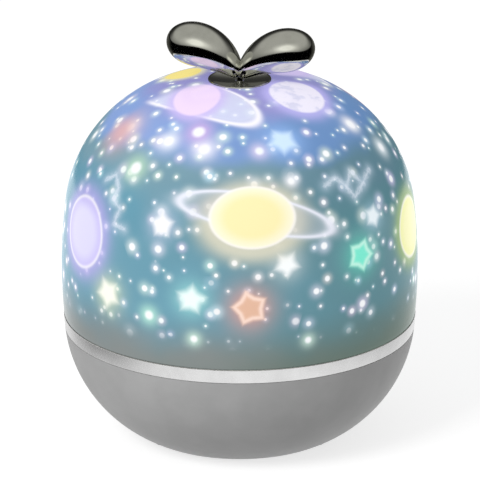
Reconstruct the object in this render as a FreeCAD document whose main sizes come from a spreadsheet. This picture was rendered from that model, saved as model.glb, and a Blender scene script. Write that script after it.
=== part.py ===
import FreeCAD, Part
import math
import os
import Sketcher

# Star night light projector: a bowl-shaped base, a lift-off frosted dome with a
# chromed two-leaf sprout, and inside it a motor-driven turntable that carries
# the printed films round a fixed lamp column.
# Frame: origin on the floor under the centre of the body, +Z up, and the
# front of the lamp faces -Y. Buttons and the power socket are at the back, +Y.

Vector = FreeCAD.Vector
doc = FreeCAD.newDocument("star_light")
sheet = doc.addObject("Spreadsheet::Sheet", "Dims")

# Driving dimensions in millimetres and degrees.
SIZES = {
    # body of the lamp, seen from the side
    "belly_radius": 60.0,
    "belly_height": 59.0,
    "side_arc": 186.0,
    "side_angle": 7.1,
    "shoulder_arc": 48.3,
    "crown_arc": 112.0,
    "dome_wall": 2.0,
    "seam_height": 42.7,
    "seam_radius": 59.5,
    "seam_gap": 0.05,
    # skirt of the dome inside the trim ring
    "skirt_radius": 57.6,
    "skirt_wall": 1.8,
    "skirt_bottom": 39.2,
    "skirt_shoulder": 44.5,
    "skirt_blend": 47.0,
    # base bowl
    "floor_height": 1.0,
    "floor_thick": 2.4,
    "bowl_arc": 45.8,
    "bowl_arc_centre": 13.5,
    "bowl_arc_height": 42.6,
    "bowl_wall": 2.2,
    "bowl_top": 37.7,
    "sunk": 0.1,
    # trim ring round the top of the bowl
    "ring_foot_radius": 59.04,
    "ring_pocket_radius": 57.9,
    "ring_flange_radius": 52.5,
    "ring_flange_top": 38.9,
    "ring_flange_thick": 2.0,
    "ring_lip_outer": 55.9,
    "ring_lip_wall": 1.7,
    "ring_lip_bottom": 33.9,
    "ring_edge": 0.35,
    "ring_lip_step": 0.6,
    # deck that closes the base
    "deck_radius": 55.3,
    "deck_thick": 2.0,
    "collar_radius": 12.5,
    "collar_bore": 9.0,
    "collar_top": 47.0,
    "post_radius": 3.5,
    "post_bottom": 14.1,
    "pilot_radius": 1.45,
    "pilot_top": 31.0,
    "bracket_pilot": 0.85,
    "bracket_pilot_deep": 5.0,
    # feet and case screws share four places
    "foot_offset_x": 25.0,
    "foot_offset_y": 14.0,
    "foot_radius": 3.5,
    "foot_recess": 0.6,
    "foot_fit": 0.1,
    "boss_radius": 3.75,
    "boss_top": 14.0,
    "head_radius": 2.75,
    "head_bore": 2.9,
    "head_bottom": 1.7,
    "head_thick": 1.8,
    "slot_half_long": 1.6,
    "slot_half_wide": 0.3,
    "slot_deep": 1.0,
    "shank_radius": 1.4,
    "shank_hole": 1.7,
    "shank_top": 30.0,
    # battery compartment
    "cell_radius": 5.25,
    "cell_length": 43.5,
    "cell_nub_radius": 1.9,
    "cell_nub": 1.0,
    "cell_pitch": 11.1,
    "cell_height": 8.9,
    "box_half_x": 18.4,
    "box_half_y": 25.9,
    "box_wall": 1.0,
    "box_top": 16.1,
    "box_lid": 1.5,
    "rib_half": 0.2,
    "rib_gap": 2.0,
    "notch_tall": 2.2,
    "plate_thick": 0.4,
    "plate_half": 4.0,
    "plate_below": 3.5,
    "plate_above": 4.0,
    "spring_half": 3.3,
    "spring_flat": 0.8,
    "spring_thick": 0.3,
    "spring_wide": 5.0,
    "spring_heel": 1.6,
    "door_half_x": 17.85,
    "door_half_y": 25.85,
    "door_thick": 1.2,
    "door_gap": 0.15,
    "door_corner": 2.5,
    "opening_half_x": 16.7,
    "opening_half_y": 24.7,
    "tab_half": 3.0,
    "tab_offset": 10.0,
    "tab_reach": 27.4,
    "tab_clear": 0.4,
    "tab_low": 0.3,
    "tab_high": 1.0,
    "tab_root": 3.2,
    "latch_half": 5.0,
    "latch_gap": 0.45,
    "latch_deep": 2.2,
    "latch_leaf": 0.8,
    "latch_bar": 0.6,
    "latch_tall": 3.0,
    "grip_radius": 4.0,
    "grip_from": 9.0,
    "grip_to": 4.0,
    "grip_drop": 3.4,
    # control board at the back of the base
    "board_top": 23.0,
    "board_thick": 1.6,
    "board_half_x": 19.0,
    "board_front": 29.0,
    "board_back": 47.5,
    "pillar_x": 14.5,
    "pillar_y": 32.5,
    "pillar_radius": 2.8,
    "pillar_bore": 0.8,
    "pillar_solid": 8.0,
    # small screws that hold the board and the bracket
    "small_head": 2.0,
    "small_head_thick": 1.4,
    "small_hole": 1.1,
    "board_shank": 0.78,
    "board_shank_long": 7.0,
    "bracket_shank": 0.8,
    "bracket_shank_rise": 4.5,
    # parts on the board
    "logic_half_x": 5.0,
    "logic_front": 35.0,
    "logic_back": 39.0,
    "logic_thick": 1.5,
    "driver_left": 8.0,
    "driver_right": 12.0,
    "driver_front": 36.0,
    "driver_back": 39.5,
    "store_radius": 2.5,
    "store_tall": 6.5,
    "store_x": -11.5,
    "store_y": 38.0,
    "resistor_left": -5.0,
    "resistor_pitch": 3.0,
    "resistor_long": 1.6,
    "resistor_front": 31.5,
    "resistor_back": 32.3,
    "resistor_thick": 0.5,
    # push buttons
    "button_pitch": 13.0,
    "button_height": 28.5,
    "button_radius": 3.2,
    "button_hole": 3.4,
    "button_proud": 0.8,
    "button_back": 49.3,
    "button_flange": 4.2,
    "button_fit": 0.15,
    "switch_half_x": 3.1,
    "switch_depth": 4.0,
    "switch_tall": 7.6,
    "plunger_radius": 1.2,
    "plunger_bore": 1.4,
    "plunger_back": 46.3,
    "plunger_bore_back": 45.2,
    # power socket under the board
    "socket_half_x": 3.75,
    "socket_tall": 2.7,
    "socket_front": 45.0,
    "socket_mouth": 50.4,
    "socket_shell": 0.3,
    "cutout_half_x": 5.9,
    "cutout_half_z": 3.5,
    "cutout_corner": 1.5,
    "cutout_over": 0.4,
    "tongue_drop": 0.45,
    "tongue_side": 1.2,
    "tongue_short": 0.8,
    "tongue_thick": 0.7,
    # turntable and its drive
    "thrust_thick": 0.35,
    "hub_radius": 16.0,
    "hub_bore": 12.58,
    "hub_top": 46.7,
    "table_bottom": 44.6,
    "table_top": 46.5,
    "table_radius": 47.3,
    "rim_wall": 1.2,
    "rim_top": 49.3,
    "ring_gear_teeth": 80,
    "ring_gear_bottom": 41.5,
    "ring_gear_bore": 27.5,
    "table_module": 0.8,
    "pinion_teeth": 14,
    "pinion_top": 44.2,
    "wheel_teeth": 48,
    "wheel_module": 0.5,
    "wheel_bottom": 34.0,
    "wheel_thick": 2.6,
    "motor_teeth": 12,
    "motor_pinion_bottom": 33.7,
    "motor_pinion_top": 37.2,
    "gear_neck": 4.2,
    "axle_radius": 1.5,
    "axle_bore": 1.55,
    "deck_gear_hole": 6.8,
    "gear_x": 8.0,
    "pressure_angle": 25.0,
    "backlash": 0.16,
    "tooth_tip": 0.9,
    "tooth_foot": 1.15,
    "wheel_gap": 0.1,
    "axle_boss": 3.0,
    "bracket_bottom": 31.2,
    "bracket_thick": 1.7,
    "bracket_left": -24.0,
    "bracket_right": 28.0,
    "bracket_half_y": 7.5,
    "bracket_post_radius": 2.5,
    "bracket_post_left": -20.4,
    "bracket_post_right": 24.6,
    "motor_radius": 10.2,
    "motor_length": 12.0,
    "motor_shaft_radius": 1.0,
    "motor_nose_radius": 3.0,
    "motor_bore": 1.06,
    "shaft_depth": 5.0,
    "shaft_gap": 0.1,
    "shaft_over": 0.3,
    "motor_cap_step": 3.0,
    "motor_cap": 1.2,
    # lamp column in the middle
    "column_radius": 8.0,
    "column_bore": 5.0,
    "column_spigot": 8.9,
    "column_bottom": 39.6,
    "column_flange_radius": 14.5,
    "column_flange_thick": 1.4,
    "column_top": 59.6,
    "column_taper": 0.8,
    "column_neck": 2.0,
    "column_head": 1.2,
    "column_mouth": 4.0,
    "lead_way": 2.0,
    "board_lead_way": 1.2,
    "lamp_board_radius": 10.5,
    "lamp_board_thick": 1.6,
    "chip_side": 5.0,
    "chip_thick": 1.5,
    "chip_circle": 6.2,
    "lens_radius": 10.4,
    "lens_wall": 1.0,
    # film cover and films
    "cover_foot_radius": 45.6,
    "cover_shoulder_radius": 42.6,
    "cover_shoulder_height": 98.0,
    "cover_top": 105.5,
    "cover_top_radius": 35.0,
    "cover_corner": 8.5,
    "cover_wall": 1.2,
    "cover_top_inset": 0.4,
    "film_thick": 0.3,
    "film_gap": 0.1,
    "film_top": 96.0,
    "top_film_radius": 33.4,
    # sprout on the crown
    "dish_radius": 10.7,
    "dish_gap": 0.1,
    "dish_seat": 123.4,
    "dish_rim": 124.9,
    "dish_hollow": 0.75,
    "dish_lip": 0.8,
    "crown_boss_radius": 12.5,
    "crown_boss_bottom": 121.3,
    "stem_radius": 1.15,
    "stem_hole": 1.35,
    "stem_bottom": 117.4,
    "washer_radius": 4.0,
    "washer_thick": 0.6,
    "nut_flats": 4.0,
    "nut_thick": 1.8,
    "leaf_foot": 125.3,
    "leaf_rise_out": 6.6,
    "leaf_rise": 135.0,
    "leaf_crest_out": 15.4,
    "leaf_crest": 137.2,
    "leaf_tip_out": 24.9,
    "leaf_tip": 135.7,
    "leaf_swell": 10.4,
    "leaf_swell_power": 0.52,
    "leaf_close_power": 3.1,
    "leaf_broad": 1.35,
    "leaf_flare": 0.5,
    "leaf_first": 0.07,
    "leaf_last": 0.99,
    "leaf_tilt": 1.8,
    "leaf_turn": -7.5,
    # insulated leads
    "lead_radius": 0.6,
    "lead_pitch": 1.35,
    "lamp_lead_bend": 3.5,
    "motor_lead_bend": 5.0,
    "battery_lead_bend": 2.5,
    "motor_lead_gap": 0.5,
}


class Size:
    """A number together with the sheet formula that gives it."""

    def __init__(self, value, text):
        self.value = float(value)
        self.text = text

    def joined(self, other, sign, value):
        text = other.text if isinstance(other, Size) else repr(other)
        return Size(value, f"({self.text} {sign} {text})")

    def __add__(self, other):
        return self.joined(other, "+", self.value + number(other))

    def __sub__(self, other):
        return self.joined(other, "-", self.value - number(other))

    def __mul__(self, other):
        return self.joined(other, "*", self.value * number(other))

    def __truediv__(self, other):
        return self.joined(other, "/", self.value / number(other))

    def __neg__(self):
        return Size(-self.value, f"(0 - {self.text})")


def number(size):
    return size.value if isinstance(size, Size) else float(size)


def cosine(angle):
    return Size(math.cos(math.radians(angle.value)), f"cos({angle.text})")


def sine(angle):
    return Size(math.sin(math.radians(angle.value)), f"sin({angle.text})")


def root(size):
    return Size(math.sqrt(size.value), f"sqrt({size.text})")


class Dims:
    """The sheet's cells by name."""

    def __init__(self, sizes):
        for row, (name, value) in enumerate(sizes.items(), start=1):
            sheet.set(f"A{row}", name)
            sheet.set(f"B{row}", str(value))
            sheet.setAlias(f"B{row}", name)
            setattr(self, name, Size(value, f"Dims.{name}"))


d = Dims(SIZES)
doc.recompute()
zero = Size(0, "0")


# Helpers that bind a shape's sizes and place to the sheet


def bind(obj, prop, size):
    """Sets a property from a number, or ties it to the sheet."""
    if isinstance(size, Size):
        obj.setExpression(prop, size.text)
    elif size:
        obj.setExpression(prop, repr(float(size)))


def place(obj, x=0, y=0, z=0):
    bind(obj, "Placement.Base.x", x)
    bind(obj, "Placement.Base.y", y)
    bind(obj, "Placement.Base.z", z)
    return obj


def cylinder(name, radius, bottom, top, x=0, y=0):
    obj = doc.addObject("Part::Cylinder", name)
    bind(obj, "Radius", radius)
    bind(obj, "Height", top - bottom)
    return place(obj, x, y, bottom)


def cylinder_y(name, radius, front, back, x, z):
    """A cylinder lying along +Y, from front to back."""
    obj = doc.addObject("Part::Cylinder", name)
    obj.Placement = FreeCAD.Placement(Vector(), FreeCAD.Rotation(Vector(1, 0, 0), -90))
    bind(obj, "Radius", radius)
    bind(obj, "Height", back - front)
    return place(obj, x, front, z)


def block(name, left, right, front, back, bottom, top):
    obj = doc.addObject("Part::Box", name)
    bind(obj, "Length", right - left)
    bind(obj, "Width", back - front)
    bind(obj, "Height", top - bottom)
    return place(obj, left, front, bottom)


def cut(name, base, *tools):
    obj = doc.addObject("Part::Cut", name)
    obj.Base = base
    obj.Tool = tools[0] if len(tools) == 1 else fuse(name + "_tools", *tools)
    return obj


def fuse(name, *shapes):
    obj = doc.addObject("Part::MultiFuse", name)
    obj.Shapes = list(shapes)
    return obj


def common(name, *shapes):
    obj = doc.addObject("Part::MultiCommon", name)
    obj.Shapes = list(shapes)
    return obj


def group(name, *shapes):
    """Several separate solids kept together as one node."""
    obj = doc.addObject("Part::Compound", name)
    obj.Links = list(shapes)
    return obj


def made(name, shape):
    obj = doc.addObject("Part::Feature", name)
    obj.Shape = shape
    return obj


nodes = []


def node(obj, label):
    obj.Label = label
    nodes.append(obj)
    return obj


def arc_middle(start, end, radius):
    """The middle of the short arc from start to end that turns left, or right if radius is negative."""
    chord = end - start
    half = chord.Length / 2
    side = Vector(-chord.y, chord.x, 0).normalize()
    rise = abs(radius) - math.sqrt(max(radius * radius - half * half, 0.0))
    return (start + end) / 2 - side * math.copysign(rise, radius)


def sketch(body, name, role, points):
    """A closed outline of (u, v) or (u, v, arc radius to the next point), each tied to the sheet."""
    outline = body.newObject("Sketcher::SketchObject", name)
    plane = next(f for f in body.Origin.OriginFeatures if f.Role == role)
    outline.AttachmentSupport = [(plane, "")]
    outline.MapMode = "FlatFace"
    spots = [Vector(number(p[0]), number(p[1]), 0) for p in points]
    count = len(points)
    for i, point in enumerate(points):
        start, end = spots[i], spots[(i + 1) % count]
        if len(point) == 3:
            middle = arc_middle(start, end, number(point[2]))
            arc = Part.Arc(start, middle, end)
            outline.addGeometry(arc, False)
        else:
            outline.addGeometry(Part.LineSegment(start, end), False)
    ends = []
    for i, point in enumerate(points):
        # an arc is stored counter-clockwise, so one that turns right starts at its far end
        backwards = len(point) == 3 and number(point[2]) < 0
        ends.append((2, 1) if backwards else (1, 2))
    for i in range(count):
        following = (i + 1) % count
        outline.addConstraint(
            Sketcher.Constraint("Coincident", i, ends[i][1], following, ends[following][0])
        )
    for i, point in enumerate(points):
        for axis, kind, line in ((0, "DistanceX", -2), (1, "DistanceY", -1)):
            value = number(point[axis])
            if abs(value) < 1e-9:
                outline.addConstraint(
                    Sketcher.Constraint("PointOnObject", i, ends[i][0], line)
                )
                continue
            index = outline.addConstraint(
                Sketcher.Constraint(kind, -1, 1, i, ends[i][0], value)
            )
            if isinstance(point[axis], Size):
                outline.setExpression(f"Constraints[{index}]", point[axis].text)
        if len(point) == 3:
            radius = point[2]
            index = outline.addConstraint(
                Sketcher.Constraint("Radius", i, abs(number(radius)))
            )
            if isinstance(radius, Size):
                positive = radius if radius.value > 0 else -radius
                outline.setExpression(f"Constraints[{index}]", positive.text)
    return outline


def revolved(name, points):
    """A body turned about Z from an outline in the XZ plane."""
    body = doc.addObject("PartDesign::Body", name)
    outline = sketch(body, name + "_outline", "XZ_Plane", points)
    turn = body.newObject("PartDesign::Revolution", name + "_turn")
    turn.Profile = outline
    turn.ReferenceAxis = (outline, ["V_Axis"])
    turn.Angle = 360
    body.Tip = turn
    return body


def padded(name, points, bottom, top):
    """A body raised along Z from an outline in the XY plane."""
    body = doc.addObject("PartDesign::Body", name)
    outline = sketch(body, name + "_outline", "XY_Plane", points)
    bind(outline, "AttachmentOffset.Base.z", bottom)
    pad = body.newObject("PartDesign::Pad", name + "_pad")
    pad.Profile = outline
    bind(pad, "Length", top - bottom)
    body.Tip = pad
    return body


def ring(name, inner, outer, bottom, top):
    return revolved(name, [(inner, bottom), (outer, bottom), (outer, top), (inner, top)])


def rounded_block(name, half_x, half_y, corner, bottom, top):
    """A block centred on the axis, with its upright edges rounded."""
    x, y, r = half_x, half_y, corner
    points = [
        (-x + r, -y),
        (x - r, -y, r),
        (x, -y + r),
        (x, y - r, r),
        (x - r, y),
        (-x + r, y, r),
        (-x, y - r),
        (-x, -y + r, r),
    ]
    return padded(name, points, bottom, top)


# Shapes that several parts share

side_centre_r = d.belly_radius - d.side_arc
shoulder_r = side_centre_r + (d.side_arc - d.shoulder_arc) * cosine(d.side_angle)
shoulder_z = d.belly_height + (d.side_arc - d.shoulder_arc) * sine(d.side_angle)
crown_offset = d.crown_arc - d.shoulder_arc
crown_drop = root(crown_offset * crown_offset - shoulder_r * shoulder_r)
crown_z = shoulder_z - crown_drop


def side_radius(height, arc):
    """Radius of the dome's side at a height, for the side arc of a given radius."""
    rise = height - d.belly_height
    return side_centre_r + root(arc * arc - rise * rise)


def bowl_radius(height, arc):
    rise = d.bowl_arc_height - height
    return d.bowl_arc_centre + root(arc * arc - rise * rise)


def dome_points(inset):
    """Side, shoulder and crown points of the dome's surface, moved in by inset."""
    side = d.side_arc - inset
    shoulder = d.shoulder_arc - inset
    crown = d.crown_arc - inset
    share = shoulder / crown_offset
    return (
        (side_centre_r + side * cosine(d.side_angle), d.belly_height + side * sine(d.side_angle)),
        (shoulder_r + shoulder_r * share, shoulder_z + crown_drop * share),
        (zero, crown_z + crown),
        (side, shoulder, crown),
    )


four_places = [
    (d.foot_offset_x, d.foot_offset_y),
    (-d.foot_offset_x, d.foot_offset_y),
    (-d.foot_offset_x, -d.foot_offset_y),
    (d.foot_offset_x, -d.foot_offset_y),
]
floor_top = d.floor_height + d.floor_thick
deck_top = d.ring_flange_top + d.deck_thick
board_bottom = d.board_top - d.board_thick
gear_distance = d.table_module * (d.ring_gear_teeth + d.pinion_teeth) / 2
gear_y = -root(gear_distance * gear_distance - d.gear_x * d.gear_x)
motor_x = d.gear_x - d.wheel_module * (d.wheel_teeth + d.motor_teeth) / 2
bracket_top = d.bracket_bottom + d.bracket_thick
button_places = [("light", -d.button_pitch), ("colour", zero), ("rotate", d.button_pitch)]
socket_height = board_bottom - d.socket_tall / 2


def bowl_form(name, bottom, arc):
    """The bowl's round form, filled, from a height up to its top edge, for a given side arc."""
    return revolved(
        name,
        [
            (zero, bottom),
            (bowl_radius(bottom, arc), bottom, arc),
            (bowl_radius(d.bowl_top, arc), d.bowl_top),
            (zero, d.bowl_top),
        ],
    )


def base_bowl():
    """Lower casing: a round bowl with a flat floor, bosses, and openings for what the hand reaches."""
    solid = bowl_form("bowl_solid", d.floor_height, d.bowl_arc)
    hollow = bowl_form("bowl_hollow", floor_top, d.bowl_arc - d.bowl_wall)
    bosses = [
        cylinder(f"boss_{i}", d.boss_radius, d.floor_height, d.boss_top, x, y)
        for i, (x, y) in enumerate(four_places)
    ]
    pillars = [
        cylinder(f"pillar_{i}", d.pillar_radius, d.floor_height, board_bottom, x, d.pillar_y)
        for i, x in enumerate((d.pillar_x, -d.pillar_x))
    ]
    shell = fuse("bowl_shell_and_bosses", cut("bowl_shell", solid, hollow), *bosses, *pillars)
    trimmed = common("bowl_trimmed", shell, solid)
    holes = [
        rounded_block(
            "door_rebate",
            d.door_half_x + d.door_gap,
            d.door_half_y + d.door_gap,
            d.door_corner,
            d.floor_height - 1,
            d.floor_height + d.door_thick,
        ),
        block(
            "battery_opening",
            -d.opening_half_x,
            d.opening_half_x,
            -d.opening_half_y,
            d.opening_half_y,
            d.floor_height,
            floor_top + 1,
        ),
    ]
    for i, x in enumerate((d.tab_offset, -d.tab_offset)):
        reach = d.tab_half + d.tab_clear
        holes.append(
            block(
                f"tab_slot_{i}",
                x - reach,
                x + reach,
                -d.tab_reach - d.tab_clear,
                -d.opening_half_y,
                d.floor_height + d.door_thick,
                floor_top + 1,
            )
        )
    for i, (x, y) in enumerate(four_places):
        recess_top = d.floor_height + d.foot_recess
        head_top = d.head_bottom + d.head_thick
        holes += [
            cylinder(f"foot_recess_{i}", d.foot_radius + d.foot_fit, d.floor_height - 1, recess_top, x, y),
            cylinder(f"head_bore_{i}", d.head_bore, d.floor_height, head_top, x, y),
            cylinder(f"shank_hole_{i}", d.shank_hole, d.floor_height, d.boss_top + 1, x, y),
        ]
    for name, x in button_places:
        holes.append(
            cylinder_y(f"{name}_hole", d.button_hole, d.button_back, d.belly_radius, x, d.button_height)
        )
    for i, x in enumerate((d.pillar_x, -d.pillar_x)):
        low, high = floor_top + d.pillar_solid, board_bottom + 1
        holes.append(cylinder(f"pillar_bore_{i}", d.pillar_bore, low, high, x, d.pillar_y))
    holes.append(socket_cutout())
    return cut("base_bowl", trimmed, *holes)


def socket_cutout():
    """Rounded rectangular way through the back wall for the power plug."""
    body = doc.addObject("PartDesign::Body", "socket_cutout")
    x, z, r = d.cutout_half_x, d.cutout_half_z, d.cutout_corner
    low, high = socket_height - z, socket_height + z
    points = [
        (-x + r, low),
        (x - r, low, r),
        (x, low + r),
        (x, high - r, r),
        (x - r, high),
        (-x + r, high, r),
        (-x, high - r),
        (-x, low + r, r),
    ]
    outline = sketch(body, "socket_cutout_outline", "XZ_Plane", points)
    bind(outline, "AttachmentOffset.Base.z", -d.belly_radius)
    pad = body.newObject("PartDesign::Pad", "socket_cutout_pad")
    pad.Profile = outline
    bind(pad, "Length", d.belly_radius - d.board_back - d.cutout_over)
    body.Tip = pad
    return body


def trim_ring():
    """Bright ring that covers the bowl's edge and holds the deck and the dome's skirt."""
    flange_bottom = d.ring_flange_top - d.ring_flange_thick
    lip_inner = d.ring_lip_outer - d.ring_lip_wall
    lip_step = d.ring_lip_outer + d.ring_lip_step
    edge = d.ring_edge
    return revolved(
        "trim_ring",
        [
            (d.ring_foot_radius - edge, d.bowl_top, edge),
            (d.ring_foot_radius, d.bowl_top + edge),
            (d.seam_radius, d.seam_height - edge, edge),
            (d.seam_radius - edge, d.seam_height),
            (d.ring_pocket_radius, d.seam_height),
            (d.ring_pocket_radius, d.ring_flange_top),
            (d.ring_flange_radius, d.ring_flange_top),
            (d.ring_flange_radius, flange_bottom),
            (lip_inner, flange_bottom),
            (lip_inner, d.ring_lip_bottom),
            (d.ring_lip_outer, d.ring_lip_bottom),
            (d.ring_lip_outer, flange_bottom),
            (lip_step, flange_bottom),
            (lip_step, d.bowl_top),
        ],
    )


def deck_plate():
    """Plate that closes the base, with the turntable's collar and four screw posts."""
    plate = ring("deck_disc", d.collar_bore, d.deck_radius, d.ring_flange_top, deck_top)
    collar = ring("deck_collar", d.collar_bore, d.collar_radius, d.ring_flange_top, d.collar_top)
    posts = [
        cylinder(f"deck_post_{i}", d.post_radius, d.post_bottom, d.ring_flange_top, x, y)
        for i, (x, y) in enumerate(four_places)
    ]
    bracket_posts = [
        cylinder(f"bracket_post_{i}", d.bracket_post_radius, bracket_top, d.ring_flange_top, x, gear_y)
        for i, x in enumerate((d.bracket_post_left, d.bracket_post_right))
    ]
    bores = [
        cylinder(f"pilot_{i}", d.pilot_radius, d.post_bottom - 1, d.pilot_top, x, y)
        for i, (x, y) in enumerate(four_places)
    ]
    pilot_top = bracket_top + d.bracket_pilot_deep
    bores += [
        cylinder(f"bracket_pilot_{i}", d.bracket_pilot, bracket_top - 1, pilot_top, x, gear_y)
        for i, x in enumerate((d.bracket_post_left, d.bracket_post_right))
    ]
    bores.append(
        cylinder("gear_hole", d.deck_gear_hole, d.ring_flange_top - 1, deck_top + 1, d.gear_x, gear_y)
    )
    solid = fuse("deck_with_posts", plate, collar, *posts, *bracket_posts)
    return cut("deck_plate", solid, *bores)


def rubber_feet():
    top = d.floor_height + d.foot_recess
    return group(
        "rubber_feet",
        *[cylinder(f"foot_{i}", d.foot_radius, zero, top, x, y) for i, (x, y) in enumerate(four_places)],
    )


def case_screws():
    """Four long screws under the feet, up through the bowl into the deck's posts."""
    screws = []
    head_top = d.head_bottom + d.head_thick
    long, wide = d.slot_half_long, d.slot_half_wide
    slot_low, slot_top = d.head_bottom - 1, d.head_bottom + d.slot_deep
    for i, (x, y) in enumerate(four_places):
        head = cylinder(f"screw_head_{i}", d.head_radius, d.head_bottom, head_top, x, y)
        shank = cylinder(f"screw_shank_{i}", d.shank_radius, d.head_bottom, d.shank_top, x, y)
        slot_a = block(f"slot_a_{i}", x - long, x + long, y - wide, y + wide, slot_low, slot_top)
        slot_b = block(f"slot_b_{i}", x - wide, x + wide, y - long, y + long, slot_low, slot_top)
        screws.append(cut(f"case_screw_{i}", fuse(f"screw_blank_{i}", head, shank), slot_a, slot_b))
    return group("case_screws", *screws)


# Battery compartment

cell_columns = [-d.cell_pitch, zero, d.cell_pitch]
cell_turns = [1, -1, 1]


def battery_box():
    """Open-bottomed box over the floor opening, with ribs between the cells."""
    inner_x, inner_y = d.box_half_x - d.box_wall, d.box_half_y - d.box_wall
    x, y = d.box_half_x, d.box_half_y
    outside = block("box_outside", -x, x, -y, y, floor_top, d.box_top)
    inside = block(
        "box_inside", -inner_x, inner_x, -inner_y, inner_y, floor_top - 1, d.box_top - d.box_lid
    )
    ribs = [
        block(
            f"box_rib_{i}",
            x - d.rib_half,
            x + d.rib_half,
            -inner_y,
            inner_y,
            d.cell_height + d.rib_gap,
            d.box_top,
        )
        for i, x in enumerate((-d.cell_pitch / 2, d.cell_pitch / 2))
    ]
    notches = [
        block(
            f"tab_notch_{i}",
            x - d.tab_half - d.tab_clear,
            x + d.tab_half + d.tab_clear,
            -y - 1,
            -inner_y + d.sunk,
            floor_top - 1,
            floor_top + d.notch_tall,
        )
        for i, x in enumerate((d.tab_offset, -d.tab_offset))
    ]
    return cut("battery_box", fuse("box_with_ribs", cut("box_shell", outside, inside), *ribs), *notches)


def battery_cell(index):
    """A small cylindrical cell along Y with its raised positive end."""
    x, turn = cell_columns[index], cell_turns[index]
    tip = d.box_half_y - d.box_wall - d.plate_thick
    shoulder = tip - d.cell_nub
    flat = shoulder - d.cell_length
    can_name, nub_name = f"cell_can_{index}", f"cell_nub_{index}"
    if turn > 0:
        can = cylinder_y(can_name, d.cell_radius, flat, shoulder, x, d.cell_height)
        nub = cylinder_y(nub_name, d.cell_nub_radius, shoulder - 1, tip, x, d.cell_height)
    else:
        can = cylinder_y(can_name, d.cell_radius, -shoulder, -flat, x, d.cell_height)
        nub = cylinder_y(nub_name, d.cell_nub_radius, -tip, -shoulder + 1, x, d.cell_height)
    return fuse(f"battery_cell_{index + 1}", can, nub)


def contact_plates():
    """Nickel plates at the cells' positive ends and behind the springs."""
    plates = []
    wall = d.box_half_y - d.box_wall
    for i, x in enumerate(cell_columns):
        for side, start in (("back", wall - d.plate_thick), ("front", -wall)):
            plates.append(
                block(
                    f"contact_{side}_{i}",
                    x - d.plate_half,
                    x + d.plate_half,
                    start,
                    start + d.plate_thick,
                    d.cell_height - d.plate_below,
                    d.cell_height + d.plate_above,
                )
            )
    return group("contact_plates", *plates)


def battery_springs():
    """A folded strip at each cell's flat end: two legs on the contact plate, a ridge on the cell."""
    springs = []
    foot = d.box_half_y - d.box_wall - d.plate_thick
    ridge = d.cell_length + d.cell_nub - foot
    half, flat, thick = d.spring_half, d.spring_flat, d.spring_thick
    heel = thick * d.spring_heel
    for i, (x, turn) in enumerate(zip(cell_columns, cell_turns)):
        near, far = (-foot, -ridge) if turn > 0 else (foot, ridge)
        inner = far - thick if turn > 0 else far + thick
        points = [
            (near, d.cell_height - half),
            (far, d.cell_height - flat),
            (far, d.cell_height + flat),
            (near, d.cell_height + half),
            (near, d.cell_height + half - heel),
            (inner, d.cell_height + flat - thick / 2),
            (inner, d.cell_height - flat + thick / 2),
            (near, d.cell_height - half + heel),
        ]
        body = doc.addObject("PartDesign::Body", f"spring_{i}")
        outline = sketch(body, f"spring_{i}_outline", "YZ_Plane", points)
        bind(outline, "AttachmentOffset.Base.z", x)
        pad = body.newObject("PartDesign::Pad", f"spring_{i}_pad")
        pad.Profile = outline
        pad.Midplane = True
        bind(pad, "Length", d.spring_wide)
        body.Tip = pad
        springs.append(body)
    return group("battery_springs", *springs)


def battery_door():
    """Door in the floor: it swings down about its front edge, where two tabs hold it."""
    inside = d.floor_height + d.door_thick
    pieces = [
        rounded_block("door_panel", d.door_half_x, d.door_half_y, d.door_corner, d.floor_height, inside)
    ]
    for i, x in enumerate((d.tab_offset, -d.tab_offset)):
        left, right, top = x - d.tab_half, x + d.tab_half, inside + d.tab_high
        root_back = -d.door_half_y + d.tab_root
        root_front = -d.opening_half_y + d.tab_low
        pieces += [
            block(f"door_tab_{i}", left, right, -d.tab_reach, root_back - 1, inside + d.tab_low, top),
            block(f"door_tab_root_{i}", left, right, root_front, root_back, inside - d.sunk, top),
        ]
    left, right = -d.latch_half, d.latch_half
    back = d.opening_half_y - d.latch_gap
    front = back - d.latch_deep
    low, top = inside - d.sunk, inside + d.latch_tall
    pieces += [
        block("latch_foot", left, right, front, front + d.latch_leaf, low, top),
        block("latch_bridge", left, right, front, back, top - d.latch_bar, top),
        block("latch_tongue", left, right, back - d.latch_leaf, back, low, top),
    ]
    grip_front, grip_back = d.door_half_y - d.grip_from, d.door_half_y - d.grip_to
    grip = cylinder_y("door_grip", d.grip_radius, grip_front, grip_back, zero, d.floor_height - d.grip_drop)
    return cut("battery_door", fuse("door_with_tabs", *pieces), grip)


# Control board, buttons and power socket


def control_board():
    slab = block(
        "board_slab", -d.board_half_x, d.board_half_x, d.board_front, d.board_back, board_bottom, d.board_top
    )
    holes = [
        cylinder(f"board_hole_{i}", d.small_hole, board_bottom - 1, d.board_top + 1, x, d.pillar_y)
        for i, x in enumerate((d.pillar_x, -d.pillar_x))
    ]
    return cut("control_board", slab, *holes)


def board_screws():
    screws = []
    for i, x in enumerate((d.pillar_x, -d.pillar_x)):
        head_top = d.board_top + d.small_head_thick
        tip = d.board_top - d.board_shank_long
        head = cylinder(f"board_screw_head_{i}", d.small_head, d.board_top, head_top, x, d.pillar_y)
        shank = cylinder(f"board_screw_shank_{i}", d.board_shank, tip, d.board_top + 1, x, d.pillar_y)
        screws.append(fuse(f"board_screw_{i}", head, shank))
    return group("board_screws", *screws)


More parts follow.
